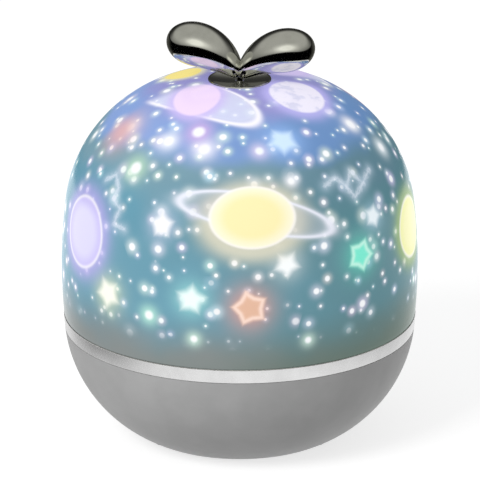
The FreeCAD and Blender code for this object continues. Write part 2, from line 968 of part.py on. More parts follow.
def board_parts():
    """Controller chip, capacitor, driver and a row of resistors on the board."""
    low, top = d.board_top, d.board_top + d.logic_thick
    chip = block("logic_chip", -d.logic_half_x, d.logic_half_x, d.logic_front, d.logic_back, low, top)
    driver = block("driver", d.driver_left, d.driver_right, d.driver_front, d.driver_back, low, top)
    can = cylinder("capacitor", d.store_radius, low, low + d.store_tall, d.store_x, d.store_y)
    rest = []
    for i in range(4):
        left = d.resistor_left + d.resistor_pitch * i
        right = left + d.resistor_long
        top = low + d.resistor_thick
        rest.append(block(f"resistor_{i}", left, right, d.resistor_front, d.resistor_back, low, top))
    return group("board_parts", chip, driver, can, *rest)


def switch_housings():
    housings = []
    for name, x in button_places:
        body = block(
            f"{name}_switch_block",
            x - d.switch_half_x,
            x + d.switch_half_x,
            d.board_back - d.switch_depth,
            d.board_back,
            d.board_top,
            d.board_top + d.switch_tall,
        )
        bore = cylinder_y(
            f"{name}_switch_bore", d.plunger_bore, d.plunger_bore_back, d.board_back + 1, x, d.button_height
        )
        housings.append(cut(f"{name}_switch", body, bore))
    return group("switch_housings", *housings)


def switch_plunger(name, x):
    return cylinder_y(f"{name}_plunger", d.plunger_radius, d.plunger_back, d.button_back, x, d.button_height)


def push_button(name, x):
    """Cap that follows the bowl's curve, a little proud of it, with a flange behind the wall."""
    limit = bowl_form(f"{name}_limit", d.floor_height, d.bowl_arc + d.button_proud)
    inner_limit = bowl_form(f"{name}_inner_limit", d.floor_height, d.bowl_arc - d.bowl_wall - d.button_fit)
    stem = cylinder_y(f"{name}_stem", d.button_radius, d.button_back, d.belly_radius, x, d.button_height)
    flange = cylinder_y(f"{name}_collar", d.button_flange, d.button_back, d.belly_radius, x, d.button_height)
    cap = common(f"{name}_cap", stem, limit)
    return fuse(f"{name}_button", cap, common(f"{name}_flange", flange, inner_limit))


def power_socket():
    """Micro-size power inlet: a thin metal shell hung under the board."""
    x, top = d.socket_half_x, board_bottom
    bottom = top - d.socket_tall
    wall = d.socket_shell
    shell = block("socket_shell", -x, x, d.socket_front, d.socket_mouth, bottom, top)
    front, mouth = d.socket_front + 1, d.socket_mouth + 1
    inside = block("socket_inside", -x + wall, x - wall, front, mouth, bottom + wall, top - wall)
    return cut("power_socket", shell, inside)


def socket_tongue():
    top = board_bottom - d.socket_shell - d.tongue_drop
    return block(
        "socket_tongue",
        -d.socket_half_x + d.tongue_side,
        d.socket_half_x - d.tongue_side,
        d.socket_front + 1,
        d.socket_mouth - d.tongue_short,
        top - d.tongue_thick,
        top,
    )


# Drive: motor, reduction gear and ring gear


def involute(angle):
    return math.tan(angle) - angle


def gear_face(teeth, module, phase):
    """Face of a spur gear with a tooth centred on the phase angle, in radians."""
    alpha = math.radians(d.pressure_angle.value)
    pitch = module * teeth / 2
    base = pitch * math.cos(alpha)
    tip = pitch + d.tooth_tip.value * module
    foot = pitch - d.tooth_foot.value * module
    half = math.pi / (2 * teeth) - d.backlash.value / (4 * pitch) + involute(alpha)

    def flank(radius, centre, side):
        turn = half - involute(math.acos(min(1.0, base / radius)))
        angle = centre + side * turn
        return Vector(radius * math.cos(angle), radius * math.sin(angle), 0)

    start = max(base * 1.0005, foot)
    middle = (start + tip) / 2
    edges = []
    for tooth in range(teeth):
        centre = phase + 2 * math.pi * tooth / teeth
        right = [flank(r, centre, -1) for r in (start, middle, tip)]
        left = [flank(r, centre, 1) for r in (tip, middle, start)]
        top = Vector(tip * math.cos(centre), tip * math.sin(centre), 0)
        low_angle = half - involute(math.acos(min(1.0, base / start)))
        right_foot = Vector(foot * math.cos(centre - low_angle), foot * math.sin(centre - low_angle), 0)
        left_foot = Vector(foot * math.cos(centre + low_angle), foot * math.sin(centre + low_angle), 0)
        if foot < start - 1e-6:
            edges.append(Part.LineSegment(right_foot, right[0]).toShape())
        edges.append(Part.Arc(*right).toShape())
        edges.append(Part.Arc(right[2], top, left[0]).toShape())
        edges.append(Part.Arc(*left).toShape())
        if foot < start - 1e-6:
            edges.append(Part.LineSegment(left[2], left_foot).toShape())
        gap = centre + math.pi / teeth
        bottom = Vector(foot * math.cos(gap), foot * math.sin(gap), 0)
        following = centre + 2 * math.pi / teeth - low_angle
        next_foot = Vector(foot * math.cos(following), foot * math.sin(following), 0)
        edges.append(Part.Arc(left_foot, bottom, next_foot).toShape())
    return Part.Face(Part.Wire(edges))


def gear_solid(teeth, module, phase, thick, bore):
    """A spur gear that stands on the plane z = 0, with a round bore."""
    solid = gear_face(teeth, module, phase).extrude(Vector(0, 0, thick))
    return solid.cut(Part.makeCylinder(bore, thick))


gear_bearing = math.atan2(gear_y.value, d.gear_x.value)


def ring_gear():
    """Gear ring under the turntable, with a gap facing the pinion."""
    teeth = int(d.ring_gear_teeth.value)
    thick = d.table_bottom.value - d.ring_gear_bottom.value
    phase = gear_bearing + math.pi / teeth
    gear = made("ring_gear", gear_solid(teeth, d.table_module.value, phase, thick, d.ring_gear_bore.value))
    return place(gear, 0, 0, d.ring_gear_bottom)


def reduction_gear():
    """Wide wheel under the deck and a pinion above it, moulded as one on a hollow neck."""
    bore = d.axle_bore.value
    thick = d.wheel_thick.value
    rise = d.ring_gear_bottom.value - d.wheel_bottom.value
    wheel = gear_solid(int(d.wheel_teeth.value), d.wheel_module.value, math.pi, thick, bore)
    pinion = gear_solid(
        int(d.pinion_teeth.value),
        d.table_module.value,
        gear_bearing + math.pi,
        d.pinion_top.value - d.ring_gear_bottom.value,
        bore,
    )
    neck = Part.makeCylinder(d.gear_neck.value, rise - thick, Vector(0, 0, thick))
    neck = neck.cut(Part.makeCylinder(bore, rise))
    gear = made("reduction_gear", wheel.fuse([neck, pinion.translated(Vector(0, 0, rise))]).removeSplitter())
    return place(gear, d.gear_x, gear_y, d.wheel_bottom)


def motor_pinion():
    teeth = int(d.motor_teeth.value)
    thick = d.motor_pinion_top.value - d.motor_pinion_bottom.value
    gear = made(
        "motor_pinion",
        gear_solid(teeth, d.wheel_module.value, math.pi / teeth, thick, d.motor_shaft_radius.value),
    )
    return place(gear, motor_x, gear_y, d.motor_pinion_bottom)


def motor_shaft():
    bottom = d.bracket_bottom - d.shaft_depth
    top = d.motor_pinion_top + d.shaft_over
    return cylinder("motor_shaft", d.motor_shaft_radius, bottom, top, motor_x, gear_y)


def drive_motor():
    """Round motor can with a nose that centres it in the bracket."""
    bottom = d.bracket_bottom - d.motor_length
    can = cylinder("motor_can", d.motor_radius, bottom, d.bracket_bottom, motor_x, gear_y)
    nose = cylinder("motor_nose", d.motor_nose_radius, d.bracket_bottom - 1, bracket_top, motor_x, gear_y)
    cap_radius = d.motor_radius - d.motor_cap_step
    cap = cylinder("motor_end", cap_radius, bottom - d.motor_cap, bottom, motor_x, gear_y)
    bore_bottom = d.bracket_bottom - d.shaft_depth - d.shaft_gap
    bore = cylinder("motor_bore", d.motor_bore, bore_bottom, bracket_top + 1, motor_x, gear_y)
    return cut("drive_motor", fuse("motor_blank", can, nose, cap), bore)


def gear_bracket():
    """Plate screwed under the deck; it carries the motor and the reduction gear's axle."""
    half = d.bracket_half_y
    plate = block(
        "bracket_plate",
        d.bracket_left,
        d.bracket_right,
        gear_y - half,
        gear_y + half,
        d.bracket_bottom,
        bracket_top,
    )
    boss_top = d.wheel_bottom - d.wheel_gap
    boss = cylinder("axle_boss", d.axle_boss, d.bracket_bottom, boss_top, d.gear_x, gear_y)
    holes = [
        cylinder("axle_seat", d.axle_radius, d.bracket_bottom - 1, d.wheel_bottom + 1, d.gear_x, gear_y),
        cylinder("nose_seat", d.motor_nose_radius, d.bracket_bottom - 1, bracket_top + 1, motor_x, gear_y),
    ]
    for i, x in enumerate((d.bracket_post_left, d.bracket_post_right)):
        holes.append(
            cylinder(f"bracket_hole_{i}", d.small_hole, d.bracket_bottom - 1, bracket_top + 1, x, gear_y)
        )
    return cut("gear_bracket", fuse("bracket_blank", plate, boss), *holes)


def bracket_screws():
    screws = []
    low = d.bracket_bottom - d.small_head_thick
    tip = bracket_top + d.bracket_shank_rise
    for i, x in enumerate((d.bracket_post_left, d.bracket_post_right)):
        head = cylinder(f"bracket_head_{i}", d.small_head, low, d.bracket_bottom, x, gear_y)
        shank = cylinder(f"bracket_shank_{i}", d.bracket_shank, d.bracket_bottom - 1, tip, x, gear_y)
        screws.append(fuse(f"bracket_screw_{i}", head, shank))
    return group("bracket_screws", *screws)


def gear_axle():
    return cylinder("gear_axle", d.axle_radius, d.bracket_bottom, d.pinion_top, d.gear_x, gear_y)


# Turntable, lamp column and films


def thrust_washer():
    return ring("thrust_washer", d.hub_bore, d.hub_radius, deck_top, deck_top + d.thrust_thick)


def turntable():
    rim_inner = d.table_radius - d.rim_wall
    return revolved(
        "turntable",
        [
            (d.hub_bore, deck_top + d.thrust_thick),
            (d.hub_radius, deck_top + d.thrust_thick),
            (d.hub_radius, d.table_bottom),
            (d.table_radius, d.table_bottom),
            (d.table_radius, d.rim_top),
            (rim_inner, d.rim_top),
            (rim_inner, d.table_top),
            (d.hub_radius, d.table_top),
            (d.hub_radius, d.hub_top),
            (d.hub_bore, d.hub_top),
        ],
    )


def lamp_column():
    """Fixed white column: a spigot in the deck's collar, a flange over the turntable's hub."""
    flange_top = d.collar_top + d.column_flange_thick
    return revolved(
        "lamp_column",
        [
            (d.column_bore, d.column_bottom),
            (d.column_spigot, d.column_bottom),
            (d.column_spigot, d.collar_top),
            (d.column_flange_radius, d.collar_top),
            (d.column_flange_radius, flange_top),
            (d.column_radius, flange_top),
            (d.column_radius - d.column_taper, d.column_top - d.column_neck),
            (d.lamp_board_radius, d.column_top - d.column_head),
            (d.lamp_board_radius, d.column_top),
            (d.lead_way, d.column_top),
            (d.lead_way, d.column_top - d.column_neck),
            (d.column_bore, d.column_top - d.column_mouth),
        ],
    )


lamp_board_top = d.column_top + d.lamp_board_thick


def lamp_board():
    return ring("lamp_board", d.board_lead_way, d.lamp_board_radius, d.column_top, lamp_board_top)


def led_chips():
    """One white chip in the middle of the board and four coloured ones round it."""
    half = d.chip_side / 2
    side = d.chip_circle
    centres = [(zero, zero), (side, zero), (zero, side), (-side, zero), (zero, -side)]
    chips = []
    for i, (x, y) in enumerate(centres):
        top = lamp_board_top + d.chip_thick
        chips.append(block(f"led_{i}", x - half, x + half, y - half, y + half, lamp_board_top, top))
    return group("led_chips", *chips)


def lamp_lens():
    """Clear cap over the chips."""
    low, outer, inner = lamp_board_top, d.lens_radius, d.lens_radius - d.lens_wall
    return revolved(
        "lamp_lens",
        [
            (inner, low),
            (outer, low, outer),
            (zero, low + outer),
            (zero, low + inner, -inner),
        ],
    )


def cover_surface(inset):
    """Outer points of the film cover, moved in by inset: foot, shoulder, top edge."""
    return (
        (d.cover_foot_radius - inset, d.table_top),
        (d.cover_shoulder_radius - inset, d.cover_shoulder_height),
        (d.cover_top_radius - d.cover_top_inset * inset, d.cover_top - inset),
    )


def film_cover():
    """Clear cap that stands on the turntable and carries the films."""
    foot, shoulder, edge = cover_surface(0)
    inner_foot, inner_shoulder, inner_edge = cover_surface(d.cover_wall)
    corner = d.cover_corner
    return revolved(
        "film_cover",
        [
            inner_foot,
            foot,
            (*shoulder, corner),
            edge,
            (zero, d.cover_top),
            (zero, d.cover_top - d.cover_wall),
            (*inner_edge, -(corner - d.cover_wall)),
            inner_shoulder,
        ],
    )


def side_radius_of_film(height):
    """Radius of the cover's inner wall at a height, less the gap for the film."""
    slope = (d.cover_foot_radius - d.cover_shoulder_radius) / (d.cover_shoulder_height - d.table_top)
    return d.cover_foot_radius - d.cover_wall - d.film_gap - (height - d.table_top) * slope


def side_film():
    """Printed strip rolled inside the cover's wall."""
    low, high, thick = d.table_top, d.film_top, d.film_thick
    return revolved(
        "side_film",
        [
            (side_radius_of_film(low) - thick, low),
            (side_radius_of_film(low), low),
            (side_radius_of_film(high), high),
            (side_radius_of_film(high) - thick, high),
        ],
    )


def top_film():
    """Printed disc stuck to the underside of the cover's flat top."""
    top = d.cover_top - d.cover_wall
    return cylinder("top_film", d.top_film_radius, top - d.film_thick, top)


# Outer dome and sprout


def outer_dome():
    """Frosted cover: side, shoulder and crown arcs, a skirt below, and the sprout's seat on top."""
    side, shoulder, top, arcs = dome_points(0)
    in_side, in_shoulder, in_top, in_arcs = dome_points(d.dome_wall)
    edge = d.seam_height + d.seam_gap
    blend = side_radius(d.skirt_blend, in_arcs[0])
    skirt_inner = d.skirt_radius - d.skirt_wall
    shell = revolved(
        "dome_shell",
        [
            (skirt_inner, d.skirt_bottom),
            (d.skirt_radius, d.skirt_bottom),
            (d.skirt_radius, edge),
            (side_radius(edge, arcs[0]), edge, arcs[0]),
            (*side, arcs[1]),
            (*shoulder, arcs[2]),
            top,
            (*in_top, -in_arcs[2]),
            (*in_shoulder, -in_arcs[1]),
            (*in_side, -in_arcs[0]),
            (blend, d.skirt_blend),
            (skirt_inner, d.skirt_shoulder),
        ],
    )
    boss = cylinder("crown_boss", d.crown_boss_radius, d.crown_boss_bottom, d.dish_seat)
    seat = cylinder("dish_recess", d.dish_radius + d.dish_gap, d.dish_seat, d.dish_rim + 3)
    hole = cylinder("stem_way", d.stem_hole, d.crown_boss_bottom - 1, d.dish_rim)
    return cut("outer_dome", fuse("dome_and_boss", shell, boss), seat, hole)


def sprout_dish():
    """Chromed saucer let into the crown, hollowed towards the stem."""
    lip = d.dish_lip
    low = d.dish_rim - d.dish_hollow
    inner = d.dish_radius - lip
    sag = d.dish_hollow
    return revolved(
        "sprout_dish",
        [
            (d.stem_hole, d.dish_seat),
            (d.dish_radius, d.dish_seat),
            (d.dish_radius, d.dish_rim - lip / 2, lip / 2),
            (d.dish_radius - lip / 2, d.dish_rim),
            (inner, d.dish_rim, -(inner * inner / (sag * 2))),
            (d.stem_hole, low),
        ],
    )


def leaf_spine(share):
    """Point and direction of the leaf's spine, a cubic curve in its own upright plane."""
    foot = Vector(0, 0, d.leaf_foot.value)
    rise = Vector(d.leaf_rise_out.value, 0, d.leaf_rise.value)
    crest = Vector(d.leaf_crest_out.value, 0, d.leaf_crest.value)
    tip = Vector(d.leaf_tip_out.value, 0, d.leaf_tip.value)
    rest = 1 - share
    point = foot * rest**3 + rise * (3 * rest**2 * share) + crest * (3 * rest * share**2) + tip * share**3
    way = (rise - foot) * rest**2 + (crest - rise) * (2 * rest * share) + (tip - crest) * share**2
    return point, way.normalize()


def leaf_section(share):
    """Ellipse square to the spine: it swells along the leaf and closes in a blunt round end."""
    point, way = leaf_spine(share)
    closing = math.sqrt(1 - share**d.leaf_close_power.value)
    half_height = d.leaf_swell.value * share**d.leaf_swell_power.value * closing
    half_width = half_height * (d.leaf_broad.value + d.leaf_flare.value * (1 - share) ** 3)
    across = Vector(0, 1, 0)
    up = way.cross(across)
    wide = point + across * half_width
    tall = point - up * half_height
    return Part.Wire(Part.Ellipse(wide, tall, point).toShape())


def sprout():
    """Two fat leaves that spread from one stem, leaning and turned a little about the lamp's axis."""
    count = 15
    first, last = d.leaf_first.value, d.leaf_last.value
    steps = [first + (last - first) * i / (count - 1) for i in range(count)]
    shares = [0.5 - 0.5 * math.cos(math.pi * step) for step in steps]
    leaf = Part.makeLoft([leaf_section(share) for share in shares], True, False)
    other = leaf.copy()
    other.rotate(Vector(), Vector(0, 0, 1), 180)
    for side in (leaf, other):
        side.rotate(Vector(0, 0, d.leaf_foot.value), Vector(0, 1, 0), d.leaf_tilt.value)
    bottom = d.stem_bottom.value
    top = d.leaf_foot.value + d.stem_radius.value
    stem = Part.makeCylinder(d.stem_radius.value, top - bottom, Vector(0, 0, bottom))
    both = leaf.fuse([other, stem]).removeSplitter()
    both.rotate(Vector(), Vector(0, 0, 1), d.leaf_turn.value)
    return made("sprout", both)


def sprout_washer():
    high = d.crown_boss_bottom
    return ring("sprout_washer", d.stem_hole, d.washer_radius, high - d.washer_thick, high)


def sprout_nut():
    """Hexagon nut on the stem, under the washer."""
    top = d.crown_boss_bottom - d.washer_thick
    prism = doc.addObject("Part::Prism", "nut_prism")
    prism.Polygon = 6
    bind(prism, "Circumradius", d.nut_flats / math.sqrt(3))
    bind(prism, "Height", d.nut_thick)
    place(prism, 0, 0, top - d.nut_thick)
    bore = cylinder("nut_bore", d.stem_radius, top - d.nut_thick - 1, top + 1)
    return cut("sprout_nut", prism, bore)


# Leads


def lead(points, bend):
    """A round insulated wire along straight runs joined by tangent arcs."""
    spots = [Vector(*p) for p in points]
    edges, last = [], spots[0]
    for before, corner, after in zip(spots, spots[1:], spots[2:]):
        back = (before - corner).normalize()
        ahead = (after - corner).normalize()
        turn = math.pi - back.getAngle(ahead)
        trim = bend * math.tan(turn / 2)
        start, end = corner + back * trim, corner + ahead * trim
        centre_way = (back + ahead).normalize()
        centre = corner + centre_way * (bend / math.cos(turn / 2))
        middle = centre - centre_way * bend
        edges.append(Part.LineSegment(last, start).toShape())
        edges.append(Part.Arc(start, middle, end).toShape())
        last = end
    edges.append(Part.LineSegment(last, spots[-1]).toShape())
    path = Part.Wire(edges)
    section = Part.Wire(
        Part.makeCircle(d.lead_radius.value, spots[0], (spots[1] - spots[0]).normalize())
    )
    tube = path.makePipeShell([section], True, False)
    length = sum(edge.Length for edge in edges)
    ideal = math.pi * d.lead_radius.value**2 * length
    if abs(tube.Volume / ideal - 1) > 0.02:
        raise ValueError("a lead's tube is not its section times its length")
    return tube


def lead_pair(name, points, bend, shift):
    """Two wires side by side, the second moved by shift."""
    first = lead(points, bend.value)
    second = first.copy()
    second.translate(Vector(*shift))
    return made(name, Part.makeCompound([first, second]))


def lamp_leads():
    """From the board forward under the deck, up the column to the lamp board."""
    points = [
        (0, 30.0, d.board_top.value + d.lead_radius.value),
        (0, 22.0, 27.0),
        (0, 6.0, 33.0),
        (0, 0, 42.0),
        (0, 0, d.column_top.value),
    ]
    return lead_pair("lamp_leads", points, d.lamp_lead_bend, (d.lead_pitch.value, 0, 0))


def motor_leads():
    """From the board round the left of the battery box to the motor's end."""
    low = d.board_top.value + d.lead_radius.value
    x, y = motor_x.value, gear_y.value
    points = [
        (-16.5, 40.0, low),
        (-25.0, 34.0, low),
        (-38.0, 8.0, 22.0),
        (-36.0, -18.0, 20.5),
        (x - d.motor_radius.value - d.motor_lead_gap.value, y, 22.5),
    ]
    return lead_pair("motor_leads", points, d.motor_lead_bend, (0, 0, d.lead_pitch.value))


def battery_leads():
    """From the battery box's top to the board's front edge."""
    top = d.box_top.value + d.lead_radius.value
    points = [(10.0, 15.5, top), (10.0, 24.0, top), (10.0, 28.4, 22.2)]
    return lead_pair("battery_leads", points, d.battery_lead_bend, (d.lead_pitch.value, 0, 0))


def build():
    node(base_bowl(), "base_bowl")
    node(trim_ring(), "trim_ring")
    node(deck_plate(), "deck_plate")
    node(rubber_feet(), "rubber_feet")
    node(case_screws(), "case_screws")
    node(battery_box(), "battery_box")
    for index in range(len(cell_columns)):
        node(battery_cell(index), f"battery_cell_{index + 1}")
    node(contact_plates(), "contact_plates")
    node(battery_springs(), "battery_springs")
    node(battery_door(), "battery_door")
    node(control_board(), "control_board")
    node(board_screws(), "board_screws")
    node(board_parts(), "board_parts")
    node(switch_housings(), "switch_housings")
    for name, x in button_places:
        node(switch_plunger(name, x), f"{name}_switch_plunger")
        node(push_button(name, x), f"{name}_button")
    node(power_socket(), "power_socket")
    node(socket_tongue(), "socket_tongue")
    node(drive_motor(), "drive_motor")
    node(motor_shaft(), "motor_shaft")
    node(motor_pinion(), "motor_pinion")
    node(gear_bracket(), "gear_bracket")
    node(bracket_screws(), "bracket_screws")
    node(gear_axle(), "gear_axle")
    node(reduction_gear(), "reduction_gear")
    node(ring_gear(), "ring_gear")
    node(thrust_washer(), "thrust_washer")
    node(turntable(), "turntable")
    node(lamp_column(), "lamp_column")
    node(lamp_board(), "lamp_board")
    node(led_chips(), "led_chips")
    node(lamp_lens(), "lamp_lens")
    node(film_cover(), "film_cover")
    node(side_film(), "side_film")
    node(top_film(), "top_film")
    node(outer_dome(), "outer_dome")
    node(sprout_dish(), "sprout_dish")
    node(sprout(), "sprout")
    node(sprout_washer(), "sprout_washer")
    node(sprout_nut(), "sprout_nut")
    node(lamp_leads(), "lamp_leads")
    node(motor_leads(), "motor_leads")
    node(battery_leads(), "battery_leads")


def write_parts():
    doc.recompute()
    for obj in doc.Objects:
        if "Invalid" in obj.State or "Error" in obj.State:
            raise RuntimeError(f"{obj.Name} failed: {obj.State}")
    os.makedirs("parts", exist_ok=True)
    for obj in nodes:
        shape = obj.Shape
        if shape.isNull() or not shape.isValid() or not shape.Solids:
            raise RuntimeError(f"{obj.Label} has no valid solid")
        shape.exportStep(f"parts/{obj.Label}.step")
        print(f"{obj.Label}: {len(shape.Solids)} solids, {shape.Volume:.1f} mm3")


build()
write_parts()
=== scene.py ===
import math

import bpy
import numpy as np
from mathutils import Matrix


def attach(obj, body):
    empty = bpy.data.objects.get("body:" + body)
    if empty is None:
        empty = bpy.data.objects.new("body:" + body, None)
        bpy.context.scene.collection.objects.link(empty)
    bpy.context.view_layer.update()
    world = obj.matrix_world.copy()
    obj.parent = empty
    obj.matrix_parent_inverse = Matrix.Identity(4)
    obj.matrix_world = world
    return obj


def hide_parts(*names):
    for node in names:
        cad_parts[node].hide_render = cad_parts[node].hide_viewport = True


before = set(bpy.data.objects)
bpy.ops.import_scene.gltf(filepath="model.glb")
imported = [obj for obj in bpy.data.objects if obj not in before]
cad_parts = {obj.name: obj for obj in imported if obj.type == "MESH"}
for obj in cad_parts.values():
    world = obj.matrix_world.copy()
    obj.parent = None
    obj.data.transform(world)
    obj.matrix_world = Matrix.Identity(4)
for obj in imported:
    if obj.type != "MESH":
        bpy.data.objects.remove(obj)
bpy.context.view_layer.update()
print("frame loaded:", len(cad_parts), "nodes")

millimetre = 0.001


# Camera

camera = {"distance": 2.5, "elevation": 19.3, "aim": (0.0001, 0.0, 0.0675), "lens": 556.7, "sensor": 36.0}


def makeCamera(settings):
    # stands straight in front of the lamp (towards -Y), raised by the elevation, looking at the aim
    data = bpy.data.cameras.new("camera")
    data.lens = settings["lens"]
    data.sensor_width = settings["sensor"]
    data.clip_end = 20.0
    tilt = math.radians(settings["elevation"])
    x, y, z = settings["aim"]
    reach = settings["distance"]
    eye = bpy.data.objects.new("camera", data)
    eye.location = (x, y - reach * math.cos(tilt), z + reach * math.sin(tilt))
    eye.rotation_euler = (math.radians(90) - tilt, 0.0, 0.0)
    bpy.context.scene.collection.objects.link(eye)
    bpy.context.scene.camera = eye


makeCamera(camera)


# Shader maths: a value wraps a socket, and an expression on values adds its Math nodes


class Value:
    def __init__(self, finish, socket):
        self.finish = finish
        self.socket = socket

    def maths(self, operation, *others):
        values = {0: self}
        for index, other in enumerate(others):
            values[index + 1] = other
        return self.finish.node("ShaderNodeMath", {"operation": operation}, values)

    def reflected(self, operation, other):
        return self.finish.node("ShaderNodeMath", {"operation": operation}, {0: other, 1: self})

    def __add__(self, other):
        return self.maths("ADD", other)

    def __radd__(self, other):
        return self.reflected("ADD", other)

    def __sub__(self, other):
        return self.maths("SUBTRACT", other)

    def __rsub__(self, other):
        return self.reflected("SUBTRACT", other)

    def __mul__(self, other):
        return self.maths("MULTIPLY", other)

    def __rmul__(self, other):
        return self.reflected("MULTIPLY", other)

    def __truediv__(self, other):
        return self.maths("DIVIDE", other)

    def __rtruediv__(self, other):
        return self.reflected("DIVIDE", other)

    def __pow__(self, other):
        return self.maths("POWER", other)

    def __neg__(self):
        return self.maths("MULTIPLY", -1.0)

    def least(self, other):
        return self.maths("MINIMUM", other)

    def most(self, other):
        return self.maths("MAXIMUM", other)

    def step(self, low, high, start=0.0, end=1.0):
        # eases from start to end as the value goes from low to high
        settings = {"interpolation_type": "SMOOTHSTEP"}
        sockets = {"Value": self, "From Min": low, "From Max": high, "To Min": start, "To Max": end}
        return self.finish.node("ShaderNodeMapRange", settings, sockets)

    def glow(self, width):
        # e to the minus square of the value over the width: 1 at the middle, soft outwards
        return (self * self * (-1.0 / width**2)).maths("EXPONENT")


class Finish:
    def __init__(self, name, kind="materials"):
        self.owner = getattr(bpy.data, kind).new(name)
        self.owner.use_nodes = True
        self.tree = self.owner.node_tree
        self.tree.nodes.clear()

    def node(self, kind, settings=None, sockets=None, output=0):
        made = self.tree.nodes.new(kind)
        for name, setting in (settings or {}).items():
            setattr(made, name, setting)
        for key, value in (sockets or {}).items():
            if isinstance(value, Value):
                self.tree.links.new(value.socket, made.inputs[key])
            elif value is not None:
                made.inputs[key].default_value = value
        return Value(self, made.outputs[output]) if len(made.outputs) else None

    def place(self):
        # Object coordinates in millimetres
        metres = self.node("ShaderNodeTexCoord", output="Object")
        return self.vector("SCALE", metres, Scale=1000.0)

    def vector(self, operation, first, second=None, output=0, **sockets):
        values = {0: first}
        if second is not None:
            values[1] = second
        values.update(sockets)
        return self.node("ShaderNodeVectorMath", {"operation": operation}, values, output)

    def along(self, place, axis):
        # how far the place lies along a direction
        return self.vector("DOT_PRODUCT", place, axis, output="Value")

    def parts(self, place):
        return [self.along(place, axis) for axis in ((1, 0, 0), (0, 1, 0), (0, 0, 1))]

    def joined(self, x, y, z):
        return self.node("ShaderNodeCombineXYZ", {}, {0: x, 1: y, 2: z})

    def mixed(self, factor, first, second, blend="MIX"):
        settings = {"data_type": "RGBA", "blend_type": blend}
        return self.node("ShaderNodeMix", settings, {0: factor, 6: first, 7: second}, output=2)

    def noise(self, place, size, detail=2.0, rough=0.5):
        # cloudy value about 0.5 whose blotches are about the given size in millimetres
        sockets = {"Vector": place, "Scale": 1.0 / size, "Detail": detail, "Roughness": rough}
        return self.node("ShaderNodeTexNoise", {}, sockets)

    def bump(self, height, depth):
        return self.node("ShaderNodeBump", {}, {"Height": height, "Distance": depth * millimetre})

    def seen(self):
        # 1 for rays from the camera, a mirror or clear plastic
        names = ("Is Camera Ray", "Is Glossy Ray", "Is Transmission Ray")
        camera, glossy, through = [self.node("ShaderNodeLightPath", output=name) for name in names]
        return camera.most(glossy).most(through)

    def surface(self, **sockets):
        named = {name.replace("_", " "): value for name, value in sockets.items()}
        shader = self.node("ShaderNodeBsdfPrincipled", {}, named)
        self.node("ShaderNodeOutputMaterial", {}, {"Surface": shader})
        return self.owner


def length(across, above):
    # straight distance from two distances at right angles
    return (across * across + above * above) ** 0.5


def paint(red, green, blue):
    # a colour given in the screen's 0 to 255 steps, as the linear one that a socket takes
    steps = np.array([red, green, blue]) / 255.0
    linear = np.where(steps <= 0.04045, steps / 12.92, ((steps + 0.055) / 1.055) ** 2.4)
    return (*linear.tolist(), 1.0)


def grey(level):
    return (level, level, level, 1.0)


blackTone = grey(0.0)
whiteTone = grey(1.0)


# Stage: white room, pale floor, soft lamps, and the cards that only the plated pieces mirror

room = {"level": 0.56}


def makeWorld(settings):
    # plain even light, and pure white where the camera or a mirror sees it
    finish = Finish("room", "worlds")
    light = finish.node("ShaderNodeBackground", {}, {"Color": whiteTone, "Strength": settings["level"]})
    white = finish.node("ShaderNodeBackground", {}, {"Color": whiteTone, "Strength": 1.0})
    both = finish.node("ShaderNodeMixShader", {}, {0: finish.seen(), 1: light, 2: white})
    finish.node("ShaderNodeOutputWorld", {}, {"Surface": both})
    bpy.context.scene.world = finish.owner


def makeMesh(name, points, faces, material=None, smooth=True):
    # points and faces as arrays or lists
    mesh = bpy.data.meshes.new(name)
    mesh.from_pydata(np.asarray(points).tolist(), [], [tuple(face) for face in faces])
    mesh.update()
    mesh.polygons.foreach_set("use_smooth", np.full(len(mesh.polygons), smooth))
    piece = bpy.data.objects.new(name, mesh)
    bpy.context.scene.collection.objects.link(piece)
    if material is not None:
        mesh.materials.append(material)
    return piece


def gridFaces(rows, columns, closed=False):
    # quads between neighbours of a grid whose columns close on themselves; with closed, its rows do too
    row = np.arange(rows if closed else rows - 1)[:, None]
    column = np.arange(columns)[None, :]
    nextRow, nextColumn = (row + 1) % rows * columns, (column + 1) % columns
    row = row * columns
    corners = [row + column, row + nextColumn, nextRow + nextColumn, nextRow + column]
    return np.stack(corners, axis=2).reshape(-1, 4)


def fanFaces(point, first, count):
    # triangles from one point to each side of a closed ring of points
    index = np.arange(count)
    return np.stack([np.full(count, point), first + index, first + (index + 1) % count], axis=1)


def discPoints(radius, height, count):
    # count points evenly round a level circle
    turn = np.linspace(0.0, 2.0 * np.pi, count, endpoint=False)
    return np.stack([radius * np.cos(turn), radius * np.sin(turn), np.full(count, height)], axis=1)


floorSheet = {
    "radius": 3.0,
    "height": -0.00002,
    "colour": (0.42, 0.42, 0.42, 1.0),
    "white": 0.72,
    "fade": (1400.0, 2900.0),
}


def makeFloor(settings, count=96):
    # a wide round sheet just under the feet, fading into the white room at its edge; the camera and
    # mirrors see it with a white share added, so it stays white and still carries the shadow
    finish = Finish("floorWhite")
    x, y, z = finish.parts(finish.place())
    under = finish.node("ShaderNodeNewGeometry", output="Backfacing")  # clear from below, to show the feet
    shown = length(x, y).step(*settings["fade"], 1.0, 0.0) * (1.0 - under)
    added = finish.mixed(finish.seen(), blackTone, grey(settings["white"]))
    material = finish.surface(
        Base_Color=settings["colour"],
        Roughness=0.9,
        Specular_IOR_Level=0.0,
        Alpha=shown,
        Emission_Color=added,
        Emission_Strength=1.0,
    )
    points = discPoints(settings["radius"], settings["height"], count)
    floor = makeMesh("floor", points, [range(count)], material, smooth=False)


